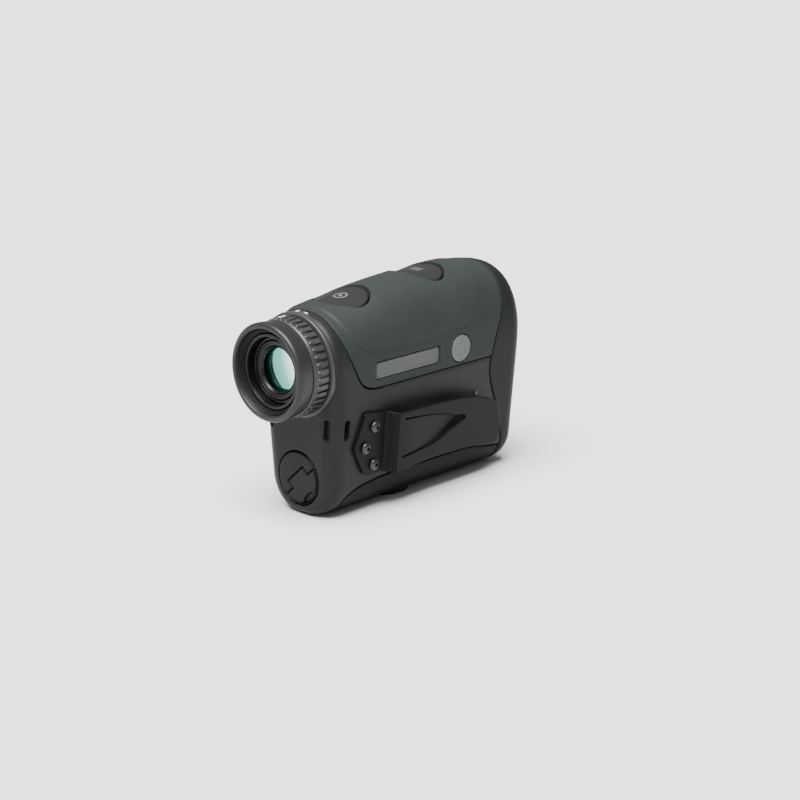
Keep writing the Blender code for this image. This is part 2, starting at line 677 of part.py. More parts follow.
def make_prism():
    half = [size / 2 for size in PRISM_SIZE]
    centre = (0, PRISM_Y, EYE_Z)
    low = [c - h for c, h in zip(centre, half)]
    high = [c + h for c, h in zip(centre, half)]
    prism = box("prism", "glass", low, high)
    bevel = prism.modifiers.new("bevel", "BEVEL")
    bevel.width = PRISM_EDGE
    bevel.segments = 1
    margin = CAGE_WALL + GAP
    cage = box("prism_cage", "metal", [a - margin for a in low], [b + margin for b in high])
    boolean(cage, box("prism_room", None, [a - GAP for a in low], [b + GAP for b in high]))
    reach = half[1] + 2 * margin
    boolean(cage, cylinder("light_path", None, LIGHT_PATH_R, PRISM_Y - reach, PRISM_Y + reach,
                           centre=(0, EYE_Z)))
    display_y = low[1] - margin - DISPLAY_GAP
    width, thickness, height = DISPLAY_SIZE
    box("display", "glass", (-width / 2, display_y - thickness, EYE_Z - height / 2),
        (width / 2, display_y, EYE_Z + height / 2))


def make_eyepiece():
    """The fixed ocular tube with its lenses, and the three rings that turn or slide on it."""
    flange_end = COLLAR_END_Y + 2.2 * MM
    flange_start = flange_end + OCULAR_FLANGE_LENGTH
    tube_end = EYECUP_END_Y + OCULAR_TUBE_SHORT
    bore = OCULAR_TUBE_R - OCULAR_TUBE_WALL
    flange_r = OCULAR_BORE_R - GAP
    turned("ocular_housing", "metal", [
        (flange_r, flange_start), (flange_r, flange_end), (OCULAR_TUBE_R, flange_end),
        (OCULAR_TUBE_R, tube_end), (bore, tube_end), (bore, flange_start)], (0, EYE_Z))
    bulge = 1.2 * MM
    turned("ocular_lens", "lens", lens_profile(OCULAR_LENS_R, OCULAR_LENS_Y, OCULAR_LENS_Y + 3 * MM, bulge,
                                               0.6 * MM), (0, EYE_Z))
    ring("ocular_retainer", "metal", OCULAR_LENS_R - OCULAR_RETAINER_WALL, OCULAR_LENS_R, tube_end,
         OCULAR_LENS_Y - GAP - bulge, (0, EYE_Z))
    field_front = FIELD_LENS_Y + FIELD_LENS_THICKNESS
    turned("field_lens", "lens", lens_profile(OCULAR_LENS_R, FIELD_LENS_Y, field_front, 0.3 * MM, 1.0 * MM),
           (0, EYE_Z))
    carrier_inner = OCULAR_TUBE_R + GAP
    carrier_outer = carrier_inner + CARRIER_WALL
    seal_centre = (flange_r - 1.5 * OCULAR_SEAL_R, flange_end - GAP - OCULAR_SEAL_R)
    seal = [(seal_centre[0] + OCULAR_SEAL_R * math.cos(2 * math.pi * i / 6),
             seal_centre[1] - OCULAR_SEAL_R * math.sin(2 * math.pi * i / 6)) for i in range(6)]
    turned("ocular_seal", "rubber", seal, (0, EYE_Z), steps=24)
    ring("eyecup_carrier", "metal", carrier_inner, carrier_outer, EYECUP_END_Y + CARRIER_SHORT,
         COLLAR_END_Y - 2 * OCULAR_SEAL_R - GAP, (0, EYE_Z))
    diopter_front = COLLAR_END_Y - 0.4 * MM
    diopter_rear = diopter_front - DIOPTER_LENGTH
    chamfer = 0.5 * MM
    bore = carrier_outer + GAP
    turned("diopter_ring", "rubber", [
        (DIOPTER_R - chamfer, diopter_front), (DIOPTER_R, diopter_front - chamfer),
        (DIOPTER_R, diopter_rear), (bore, diopter_rear), (bore, diopter_front)], (0, EYE_Z), steps=40)
    cup_front = EYECUP_END_Y + EYECUP_LENGTH
    lip = [(EYECUP_R - EYECUP_LIP_R * (1 - math.cos(a)), EYECUP_END_Y + EYECUP_LIP_R * (1 - math.sin(a)))
           for a in (math.pi / 2 * i / 3 for i in range(4))]
    turned("eyecup", "rubber", [
        (EYECUP_R, cup_front), *lip, (bore + 0.8 * MM, EYECUP_END_Y), (bore, EYECUP_END_Y + 0.8 * MM),
        (bore, cup_front)], (0, EYE_Z), steps=40)


# ---------------------------------------------------------------- buttons

def make_button(name, button):
    cap = casing_solid(name, BUTTON_RECESS, kind="button")
    boolean(cap, crown_cutter(name + "_outline", button, -BUTTON_CLEARANCE, WAIST_Z + 5 * MM), "INTERSECT")
    boolean(cap, casing_solid(name + "_under", BUTTON_RECESS + BUTTON_HEIGHT))


def make_button_board():
    board_z = EYE_Z + PRISM_SIZE[2] / 2 + CAGE_WALL + 3 * GAP
    board_top = board_z + BUTTON_BOARD_THICKNESS
    first, last = MEASURE_BUTTON[0] - BUTTON_BOARD_END, MENU_BUTTON[0] + BUTTON_BOARD_END
    box("button_board", "board", (-BUTTON_BOARD_HALF, first, board_z), (BUTTON_BOARD_HALF, last, board_top))
    for name, (centre_y, _, _) in (("measure_switch", MEASURE_BUTTON), ("menu_switch", MENU_BUTTON)):
        lowest = crown_height(centre_y - SWITCH_R) - BUTTON_RECESS - BUTTON_HEIGHT
        top = lowest - BUTTON_TRAVEL - 2 * GAP
        cylinder(name, "steel", SWITCH_R, board_top + GAP, top, "Z", (0, centre_y), steps=20)


# ---------------------------------------------------------------- battery compartment

def tab_frame():
    """Directions on the rear face along the tab's hinge and from the hinge to the tab's free edge."""
    along = Vector((math.cos(TAB_ANGLE), math.sin(TAB_ANGLE)))
    out = Vector((math.sin(TAB_ANGLE), -math.cos(TAB_ANGLE)))
    return along, out


def tab_outline(margin):
    """The tab on the rear face, round the cap's centre: a segment with a knuckle, grown by margin."""
    radius = CAP_R - TAB_INSET + margin
    line = TAB_LINE - margin
    half = KNUCKLE_HALF_WIDTH + margin
    top = line - KNUCKLE_REACH
    reach = math.acos(line / radius)
    arc = [(radius * math.cos(a), radius * math.sin(a))
           for a in (-reach + 2 * reach * i / 16 for i in range(17))]
    knuckle = [(line, half), (top, half), (top, -half), (line, -half)]
    along, out = tab_frame()
    return [tuple(along * b + out * a) for a, b in [*arc, *knuckle]]


def tab_hinge():
    """Centre of the tab's pin, in the cap's plane and along Y."""
    _, out = tab_frame()
    place = out * (TAB_LINE - KNUCKLE_REACH + TAB_THICKNESS / 2)
    return place, REAR_Y - CAP_PROUD + TAB_THICKNESS / 2


def rear_solid(name, kind, outline, low, high):
    """An outline on the rear face, in (x, z) round the cap's centre, extruded along Y."""
    return outline_solid(name, kind, outline, high - low, (math.pi / 2, 0, 0),
                         (0, (low + high) / 2, CELL_Z))


def hinge_cylinder(name, kind, radius, half_length, steps=16):
    place, y = tab_hinge()
    rod = cylinder(name, kind, radius, -half_length, half_length, "X", steps=steps)
    rod.rotation_euler = (0, math.pi / 2 - TAB_ANGLE, 0)
    rod.location = (place.x, y, CELL_Z + place.y)
    return rod


def make_battery_cap():
    face = REAR_Y - CAP_PROUD
    head = face + CAP_HEAD
    skirt = head + CAP_SKIRT
    cap = turned("battery_cap", "casing", [
        (0, head), (CONTACT_R + GAP, head), (CONTACT_R + GAP, skirt), (CAP_SKIRT_R, skirt),
        (CAP_SKIRT_R, head), (CAP_R, head), (CAP_R, face + CAP_EDGE), (CAP_R - CAP_EDGE, face), (0, face)],
        (0, CELL_Z))
    boolean(cap, rear_solid("tab_pocket", None, tab_outline(GAP), face - 1 * MM, face + TAB_THICKNESS + GAP))
    pin_hole_r = TAB_PIN_R + TAB_PIN_CLEARANCE
    boolean(cap, hinge_cylinder("pin_bore", None, pin_hole_r, KNUCKLE_HALF_WIDTH + 1.7 * MM))
    ring("cap_seal", "rubber", CAP_SKIRT_R + GAP, CAP_R - GAP, head + GAP, cap_shoulder_y() - GAP,
         (0, CELL_Z))
    cylinder("cap_contact", "steel", CONTACT_R, head + GAP, skirt - GAP, centre=(0, CELL_Z))
    tab = rear_solid("battery_tab", "casing", tab_outline(0), face, face + TAB_THICKNESS)
    _, out = tab_frame()
    notch = out * (CAP_R + NAIL_NOTCH_OUT)
    boolean(tab, cylinder("nail_notch", None, NAIL_NOTCH_R, face - 1 * MM, face + NAIL_NOTCH_DEPTH,
                          centre=(notch.x, CELL_Z + notch.y)))
    boolean(tab, hinge_cylinder("pin_path", None, pin_hole_r, KNUCKLE_HALF_WIDTH + 1 * MM))
    round_knuckle(tab)
    hinge_cylinder("tab_pin", "steel", TAB_PIN_R, KNUCKLE_HALF_WIDTH + 1.4 * MM)


def round_knuckle(tab):
    """Takes the square corners off the knuckle's end, so that it turns in its pocket."""
    place, y = tab_hinge()
    half = TAB_THICKNESS / 2
    waste = box("knuckle_corners", None, (-KNUCKLE_HALF_WIDTH - 1 * MM, -half - 1 * MM, 0),
                (KNUCKLE_HALF_WIDTH + 1 * MM, half + 1 * MM, half + 1 * MM))
    reach = KNUCKLE_HALF_WIDTH + 2 * MM
    keep = cylinder("knuckle_round", None, half, -reach, reach, "X", steps=24)
    boolean(waste, keep)
    for tool in (waste, keep):
        tool.location = (place.x, y, CELL_Z + place.y)
    waste.rotation_euler = (0, -TAB_ANGLE, 0)
    keep.rotation_euler = (0, math.pi / 2 - TAB_ANGLE, 0)
    boolean(tab, waste)


def make_battery():
    skirt_end = REAR_Y - CAP_PROUD + CAP_HEAD + CAP_SKIRT
    start = skirt_end + GAP
    inner = CELL_R + GAP
    end = start + CELL_LENGTH + 2 * MM
    cylinder("battery", "cell", CELL_R, start + GAP, start + GAP + CELL_LENGTH, centre=(0, CELL_Z), steps=32)
    ring("battery_tube", "casing", inner, inner + TUBE_WALL, start, end, (0, CELL_Z), steps=32)
    cylinder("battery_contact", "brass", inner - GAP, start + 3 * GAP + CELL_LENGTH, end, centre=(0, CELL_Z),
             steps=24)


# ---------------------------------------------------------------- electronics and underside

def make_electronics():
    low = (BOARD_X, BOARD_Y[0], BOARD_Z[0])
    box("main_board", "board", low, (BOARD_X + BOARD_THICKNESS, BOARD_Y[1], BOARD_Z[1]))
    middle = (BOARD_Y[0] + BOARD_Y[1]) / 2
    low_z = BOARD_Z[0] + SHIELD_HALF
    box("shield_can", "steel", (BOARD_X - GAP - SHIELD_HEIGHT, middle - SHIELD_HALF, low_z),
        (BOARD_X - GAP, middle + SHIELD_HALF, low_z + 2 * SHIELD_HALF))


def make_tripod_insert():
    insert = cylinder("tripod_insert", "brass", INSERT_R, 0, INSERT_LENGTH, "Z")
    boolean(insert, cylinder("socket_thread", None, SOCKET_R, -1 * MM, SOCKET_DEPTH, "Z"))


# ---------------------------------------------------------------- belt clip

def on_side(obj):
    """Lays a piece drawn as (w, y, v) on the casing's drafted side."""
    obj.rotation_euler = (0, math.atan(SIDE_DRAFT), 0)
    obj.location = (side_x(CLIP_Z), 0, CLIP_Z)
    return obj


def clip_cylinder(name, kind, radius, low, high, place, steps=16):
    """A cylinder out of the side at a (y, v) place in mm."""
    obj = cylinder(name, kind, radius, low, high, "Z", steps=steps)
    lean = math.atan(SIDE_DRAFT)
    out = Vector((math.cos(lean), 0, -math.sin(lean)))
    up = Vector((math.sin(lean), 0, math.cos(lean)))
    base = Vector((side_x(CLIP_Z), place[0] * MM, CLIP_Z)) + up * place[1] * MM
    obj.rotation_euler = (0, math.pi / 2 + lean, 0)
    obj.location = base + out * (low + high) / 2
    return obj


def face_solid(name, outline, half=12 * MM):
    """An outline in (y, v) extruded along w."""
    drawn = outline_solid(name, None, outline, 2 * half, (math.pi / 2, 0, math.pi / 2))
    return bake(drawn)


def strip_solid(name, profile, kind=None, half=20 * MM):
    """A bent strip: a profile in (w, y) extruded along v."""
    return outline_solid(name, kind, profile, 2 * half)


def bake(obj):
    """Turns an object's rotation into its mesh, so that on_side can set its place."""
    obj.data.transform(obj.rotation_euler.to_matrix().to_4x4())
    obj.rotation_euler = (0, 0, 0)
    return obj


def make_clip():
    low, high = GAP, GAP + SHEET
    tongue_low, tongue_high = BELT_GAP, BELT_GAP + SHEET
    joggle_end = JOGGLE_Y + JOGGLE_RUN
    lean = SHEET / 2
    clip = strip_solid("utility_clip", [
        (low, CLIP_START_Y), (high, CLIP_START_Y), (high, JOGGLE_Y - lean),
        (tongue_high, joggle_end - lean), (tongue_high, CLIP_END_Y), (tongue_low, CLIP_END_Y),
        (tongue_low, joggle_end), (low, JOGGLE_Y)], "metal")
    outline = [(y * MM, v * MM) for y, v in CLIP_BASE]
    outline += [*smooth(CLIP_BOTTOM), *smooth(CLIP_NOSE), *smooth(CLIP_TOP)]
    boolean(clip, on_side(face_solid("clip_outline", outline)), "INTERSECT")
    window = [*smooth(LANCE_TOP), *smooth(LANCE_BOTTOM)]
    boolean(clip, on_side(face_solid("lance_window", window)))
    root_y, tip_y = LANCE_TOP[0][0] * MM, LANCE_BOTTOM[0][0] * MM
    lance = strip_solid("lance", [
        (tongue_low, root_y - 1 * MM), (tongue_high, root_y - 1 * MM), (tongue_high, root_y),
        (tongue_high - LANCE_DEPTH, tip_y), (tongue_low - LANCE_DEPTH, tip_y), (tongue_low, root_y)])
    inner = [(y, v * 0.94 + 0.1 * MM) for y, v in window if y > root_y + 0.5 * MM and y < tip_y - 1 * MM]
    ends = [(root_y - 0.6 * MM, window[0][1] - 0.6 * MM), (root_y - 0.6 * MM, window[-1][1] + 0.6 * MM)]
    boolean(lance, on_side(face_solid("lance_outline", [ends[0], *inner, ends[1]])), "INTERSECT")
    boolean(clip, on_side(lance), "UNION")
    for index, place in enumerate(SCREW_PLACES, 1):
        boolean(clip, clip_cylinder(f"clip_hole_{index}", None, SCREW_R + GAP, -1 * MM, 3 * MM, place, 12))
        make_screw(index, place, high + GAP)
    on_side(clip)
    z = STOP_PIN[1]
    cylinder("clip_stop_pin", "steel", STOP_PIN_R, side_x(z) - STOP_PIN_SINK, side_x(z) + STOP_PIN_PROUD, "X",
             STOP_PIN, steps=16)


def make_screw(index, place, seat):
    """A button-head screw: domed head with a hexagon socket, and a plain shank."""
    name = f"clip_screw_{index}"
    screw = clip_cylinder(name, "steel", SCREW_HEAD_R, seat, seat + SCREW_HEAD, place)
    bevel = screw.modifiers.new("dome", "BEVEL")
    bevel.width = 0.6 * MM
    bevel.segments = 1
    bevel.limit_method = "ANGLE"
    boolean(screw, clip_cylinder(name + "_shank", None, SCREW_R, -SCREW_DEPTH, seat + 0.2 * MM, place, 12),
            "UNION")
    boolean(screw, clip_cylinder(name + "_socket", None, SCREW_SOCKET_R, seat + SCREW_HEAD - 0.8 * MM,
                                 seat + SCREW_HEAD + 1 * MM, place, 6))


# ---------------------------------------------------------------- assembly

def build():
    make_main_housing()
    make_top_armor()
    make_bottom_armor()
    make_front_bezel()
    make_labels()
    make_objective()
    make_laser()
    make_prism()
    make_eyepiece()
    make_button("measure_button", MEASURE_BUTTON)
    make_button("menu_button", MENU_BUTTON)
    make_button_board()
    make_battery_cap()
    make_battery()
    make_electronics()
    make_tripod_insert()
    make_clip()


build()
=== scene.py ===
"""Looks of the handheld laser rangefinder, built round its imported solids.

Lengths are in millimetres until a mesh is made. The covers are sheets laid on the casing's form, which
is the same formula as the solids': u runs round the section from the crown, v runs along it.
"""

import math

import bmesh
import bpy
import numpy as np
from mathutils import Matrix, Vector
from mathutils.geometry import delaunay_2d_cdt


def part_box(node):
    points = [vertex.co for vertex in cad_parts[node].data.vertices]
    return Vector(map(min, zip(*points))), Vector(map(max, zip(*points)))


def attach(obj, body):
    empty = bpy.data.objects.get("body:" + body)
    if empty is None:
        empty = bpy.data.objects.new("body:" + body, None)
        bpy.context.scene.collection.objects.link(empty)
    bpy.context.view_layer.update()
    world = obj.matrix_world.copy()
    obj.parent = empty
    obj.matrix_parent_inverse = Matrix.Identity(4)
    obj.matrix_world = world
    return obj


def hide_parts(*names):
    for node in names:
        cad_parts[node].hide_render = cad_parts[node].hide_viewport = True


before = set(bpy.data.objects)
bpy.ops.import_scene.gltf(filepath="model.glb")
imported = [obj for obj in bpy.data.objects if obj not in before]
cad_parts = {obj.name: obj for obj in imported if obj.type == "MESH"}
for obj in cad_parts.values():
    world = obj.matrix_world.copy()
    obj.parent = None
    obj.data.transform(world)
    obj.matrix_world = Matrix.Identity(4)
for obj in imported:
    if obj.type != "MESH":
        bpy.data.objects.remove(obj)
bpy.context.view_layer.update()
MM = 0.001

# The casing's form
FRONT_Y, REAR_Y = 57.1, -42.3
HALF_WIDTH, WAIST_Z, SIDE_DRAFT = 19.9, 51.2, 0.094
CROWN_Z, CROWN_PEAK_Y, CROWN_POWER = 79.6, 32.2, 2.3
REAR_FALL, REAR_RUN, FRONT_FALL, FRONT_RUN = 4.74, 60.0, 4.45, 30.0
BELLY_Z, BELLY_R = 0.5, 13.0
FRONT_EDGE_R, REAR_SIDE_R, REAR_BELLY_R, REAR_CROWN_R = 6.6, 6.2, 3.2, 1.6
BLEND_LOW, BLEND_HIGH = 43.0, 57.0
WAIST_EASE = 7.0
LEAN = math.atan(SIDE_DRAFT)

# Parting lines
BEZEL_SEAM = [(46.0, 86.0), (46.9, 73.0), (44.5, 63.0), (40.5, 53.5), (37.9, 42.5),
              (39.5, 34.5), (43.4, 26.0), (46.6, 16.5), (48.4, 8.5), (48.6, -4.0)]
ARMOR_REAR_SEAM = [(-37.0, 86.0), (-37.9, 72.0), (-37.8, 67.0), (-36.0, 60.5), (-33.4, 53.8),
                   (-30.2, 48.7), (-26.4, 46.4), (-21.0, 45.7)]
PAD_SEAM = [(-36.0, -4.0), (-35.7, 5.0), (-33.6, 8.2), (-29.5, 10.2), (-23.0, 11.4),
            (-12.0, 12.2), (14.0, 12.2), (30.0, 11.8), (39.0, 10.1), (46.6, 9.0)]
RIDGE = [(-35.2, 79.0), (-34.8, 72.1), (-33.8, 68.8), (-31.5, 63.6), (-28.9, 60.7), (-26.2, 59.6), (-20.7, 59.0),
         (-10.6, 58.5), (0.0, 58.7), (10.8, 59.5), (19.2, 60.3), (24.9, 61.4), (30.1, 64.9),
         (33.5, 69.3), (35.3, 72.9), (36.4, 79.0)]
ARMOR_LOW_Z, PAD_FRONT_Y = 45.7, 47.4
SEAM = 0.42
ARMOR = 1.6

EYE_Z, CELL_Z, LASER_Z = 54.4, 13.6, 25.5
MEASURE_BUTTON, MENU_BUTTON = (-20.8, 10.9, 10.2), (18.2, 11.0, 9.4)


# ---------------------------------------------------------------- the casing's form

def crown_height(y):
    behind = np.maximum(0, CROWN_PEAK_Y - y) / REAR_RUN
    ahead = np.maximum(0, y - CROWN_PEAK_Y) / FRONT_RUN
    return CROWN_Z - REAR_FALL * behind ** 2 - FRONT_FALL * ahead ** 2


def side_x(z):
    return HALF_WIDTH - SIDE_DRAFT * (WAIST_Z - z)


BELLY_CENTRE_Z = BELLY_Z + BELLY_R
BELLY_CENTRE_X = side_x(BELLY_CENTRE_Z) - BELLY_R * math.hypot(1, SIDE_DRAFT)
TANGENT_Z = BELLY_CENTRE_Z - BELLY_R * math.sin(LEAN)


def section(t, y):
    """x and z round the right half: crown for t of 0 to 1, then side, belly and bottom, to 4."""
    angle = math.pi / 2 * (1 - np.clip(t, 0, 1))
    x = HALF_WIDTH * np.cos(angle) ** (2 / CROWN_POWER)
    z = WAIST_Z + (crown_height(y) - WAIST_Z) * np.sin(angle) ** (2 / CROWN_POWER)
    low = WAIST_Z + (TANGENT_Z - WAIST_Z) * np.clip(t - 1, 0, 1)
    x = np.where(t > 1, side_x(low), x)
    z = np.where(t > 1, low, z)
    turn = LEAN + (math.pi / 2 - LEAN) * np.clip(t - 2, 0, 1)
    x = np.where(t > 2, BELLY_CENTRE_X + BELLY_R * np.cos(turn), x)
    z = np.where(t > 2, BELLY_CENTRE_Z - BELLY_R * np.sin(turn), z)
    x = np.where(t > 3, BELLY_CENTRE_X * (4 - t), x)
    near = np.clip(WAIST_EASE - np.abs(z - WAIST_Z), 0, None)
    return x - SIDE_DRAFT * near ** 2 / (4 * WAIST_EASE), z


def girth_table():
    """Length round the section against t, at the casing's middle."""
    t = np.concatenate([np.linspace(0, 0.1, 200) ** 1.5 / 0.1 ** 0.5, np.linspace(0.1, 4, 2000)[1:]])
    x, z = section(t, np.zeros_like(t))
    return t, np.concatenate([[0], np.cumsum(np.hypot(np.diff(x), np.diff(z)))])


TABLE_T, TABLE_U = girth_table()
GIRTH = TABLE_U[-1]


def place(u, y):
    """x and z at u round the whole section: negative u is the left side, and u past GIRTH folds back."""
    u = np.where(u > GIRTH, u - 2 * GIRTH, u)
    x, z = section(np.interp(np.abs(u), TABLE_U, TABLE_T), y)
    return np.sign(u) * x, z


def across(u, y):
    """The section's outward normal, as x and z."""
    step = 0.04
    x1, z1 = place(u + step, y)
    x0, z0 = place(u - step, y)
    length = np.hypot(x1 - x0, z1 - z0)
    return -(z1 - z0) / length, (x1 - x0) / length


def rear_radius(z, side):
    share = np.clip((z - BLEND_LOW) / (BLEND_HIGH - BLEND_LOW), 0, 1)
    share = share * share * (3 - 2 * share)
    below = REAR_BELLY_R + (REAR_SIDE_R - REAR_BELLY_R) * np.abs(side)
    return below + (REAR_CROWN_R - below) * share


def casing(u, v, depth):
    """The point of the casing's sheet at u and v, depth under it. Past the ends v goes on round the edge."""
    middle = np.clip(v, REAR_Y, FRONT_Y)
    _, z = place(u, middle)
    nx, nz = across(u, middle)
    radius = rear_radius(z, nx)
    rear = np.clip((REAR_Y + radius - v) / radius, 0, math.pi / 2)
    front = np.clip((v - FRONT_Y + FRONT_EDGE_R) / FRONT_EDGE_R, 0, math.pi / 2)
    flat = np.clip(v - FRONT_Y + FRONT_EDGE_R - FRONT_EDGE_R * math.pi / 2, 0, None)
    y = np.where(rear > 0, REAR_Y + radius * (1 - np.sin(rear)), v)
    y = np.where(front > 0, FRONT_Y - FRONT_EDGE_R * (1 - np.sin(front)), y)
    inset = radius * (1 - np.cos(rear)) + FRONT_EDGE_R * (1 - np.cos(front)) + flat
    along = np.sin(rear) * depth - np.sin(front) * depth
    inward = inset + depth * np.cos(rear) * np.cos(front)
    x, z = place(u, y)
    return np.stack([x - nx * inward, y + along, z - nz * inward], axis=-1)


def round_from_z(z, y):
    """u on the right side at a height, or 0 where the height is over the crown."""
    z, y = np.broadcast_arrays(np.asarray(z, float), np.asarray(y, float))
    share = np.clip((z - WAIST_Z) / (crown_height(y) - WAIST_Z), 0, 1)
    t = 1 - np.arcsin(share ** (CROWN_POWER / 2)) / (math.pi / 2)
    t = np.where(z < WAIST_Z, 1 + (z - WAIST_Z) / (TANGENT_Z - WAIST_Z), t)
    turn = np.arcsin(np.clip((BELLY_CENTRE_Z - z) / BELLY_R, 0, 1))
    t = np.where(z < TANGENT_Z, 2 + (turn - LEAN) / (math.pi / 2 - LEAN), t)
    t = np.where(z <= BELLY_Z, 4, t)
    return np.interp(t, TABLE_T, TABLE_U)


def round_from_x(x):
    t = 1 - np.arccos(np.clip(np.abs(x) / HALF_WIDTH, 0, 1) ** (CROWN_POWER / 2)) / (math.pi / 2)
    return np.sign(x) * np.interp(t, TABLE_T, TABLE_U)


# ---------------------------------------------------------------- curves

def smooth_line(points, spans=24):
    """A Catmull-Rom curve through points, as an array."""
    ends = np.array([points[0], *points, points[-1]], float)
    t = np.arange(spans)[:, None] / spans
    pieces = []
    for a, b, c, d in zip(ends, ends[1:], ends[2:], ends[3:]):
        pieces.append(0.5 * (2 * b + (c - a) * t + (2 * a - 5 * b + 4 * c - d) * t * t
                             + (3 * b - a - 3 * c + d) * t ** 3))
    return np.concatenate([*pieces, ends[-1:]])


def spaced(line, step):
    """The line again with points about step apart."""
    line = np.asarray(line, float)
    run = np.concatenate([[0], np.cumsum(np.hypot(*np.diff(line, axis=0).T))])
    keep = np.concatenate([[True], np.diff(run) > 1e-9])
    count = max(1, int(round(run[-1] / step)))
    at = np.linspace(0, run[-1], count + 1)
    return np.stack([np.interp(at, run[keep], line[keep, i]) for i in (0, 1)], axis=1)


def on_casing(points, shift=0.0, step=0.8):
    """A side-view curve of (y, z) points as (u, v) on the right side of the casing, from the crown down."""
    line = smooth_line(points)
    y, z = line[:, 0] + shift, line[:, 1]
    over = z - crown_height(y)
    if over[0] > 0:
        first = int(np.argmax(over <= 0))
        share = over[first - 1] / (over[first - 1] - over[first])
        start = y[first - 1] + (y[first] - y[first - 1]) * share
        y, z = np.concatenate([[start], y[first:]]), np.concatenate([[crown_height(start)], z[first:]])
        fill = np.linspace(0, 1, 30)[1:-1] ** 2
        y = np.concatenate([[y[0]], y[0] + (y[1] - y[0]) * fill, y[1:]])
        z = np.concatenate([[z[0]], z[0] + (z[1] - z[0]) * fill, z[1:]])
    u = round_from_z(z, y)
    line = np.stack([u, y], axis=1)
    at_bottom = np.argmax(z <= BELLY_Z) if (z <= BELLY_Z).any() else 0
    if at_bottom:
        line = np.concatenate([line[:at_bottom], [[GIRTH, y[at_bottom]]]])
    return spaced(line, step)


def mirrored(line):
    return np.asarray(line)[::-1] * [-1, 1]


def path(*lines, step=0.8):
    """Lines joined end to end into one loop, leaving out repeated points."""
    points = np.concatenate([spaced(line, step) for line in lines])
    keep = np.hypot(*(points - np.roll(points, 1, axis=0)).T) > 0.05
    return points[keep]


def arc(cx, cy, radius, start, end, step=0.8, stretch=(1, 1)):
    """An arc in degrees."""
    span = math.radians(end - start)
    count = max(4, int(abs(span) * radius / step))
    turn = np.linspace(math.radians(start), math.radians(end), count + 1)
    return np.stack([cx + radius * stretch[0] * np.cos(turn), cy + radius * stretch[1] * np.sin(turn)], axis=1)


def circle(cx, cy, radius, step=0.8):
    return arc(cx, cy, radius, 0, 360, step)[:-1]


def rounded_box(low, high, radius, step=0.6):
    (x0, y0), (x1, y1) = low, high
    r = radius
    return path(arc(x1 - r, y1 - r, r, 0, 90, step), arc(x0 + r, y1 - r, r, 90, 180, step),
                arc(x0 + r, y0 + r, r, 180, 270, step), arc(x1 - r, y0 + r, r, 270, 360, step),
                [(x1, y0 + r), (x1, y1 - r)], step=step)


# ---------------------------------------------------------------- sheets

def inside(points, loops):
    """Which points lie inside the first loop and outside the others."""
    found = np.zeros(len(points), bool)
    x, y = points[:, 0], points[:, 1]
    for loop in loops:
        for (x0, y0), (x1, y1) in zip(loop, np.roll(loop, -1, axis=0)):
            if y0 != y1:
                crosses = ((y0 > y) != (y1 > y)) & (x < (x1 - x0) * (y - y0) / (y1 - y0) + x0)
                found ^= crosses
    return found


def distance(points, lines):
    """How far each point is from the nearest of some polylines."""
    best = np.full(len(points), 1e9)
    for line in lines:
        a, b = line[:-1], line[1:]
        span = b - a
        size = np.maximum((span ** 2).sum(1), 1e-12)
        for start in range(0, len(points), 4000):
            part = points[start:start + 4000]
            share = np.clip(((part[:, None] - a) * span).sum(2) / size, 0, 1)
            gap = np.hypot(*np.moveaxis(part[:, None] - a - share[..., None] * span, 2, 0))
            best[start:start + 4000] = np.minimum(best[start:start + 4000], gap.min(1))
    return best


def closed_line(loop):
    return np.concatenate([loop, loop[:1]])


def mesh_of(name, points, faces, sharp=40):
    """An object from points in mm, with its faces as given."""
    mesh = bpy.data.meshes.new(name)
    mesh.from_pydata((np.asarray(points) * MM).tolist(), [], [tuple(map(int, face)) for face in faces])
    mesh.update()
    mesh.shade_smooth()
    mesh.set_sharp_from_angle(angle=math.radians(sharp))
    obj = bpy.data.objects.new(name, mesh)
    bpy.context.scene.collection.objects.link(obj)
    return obj


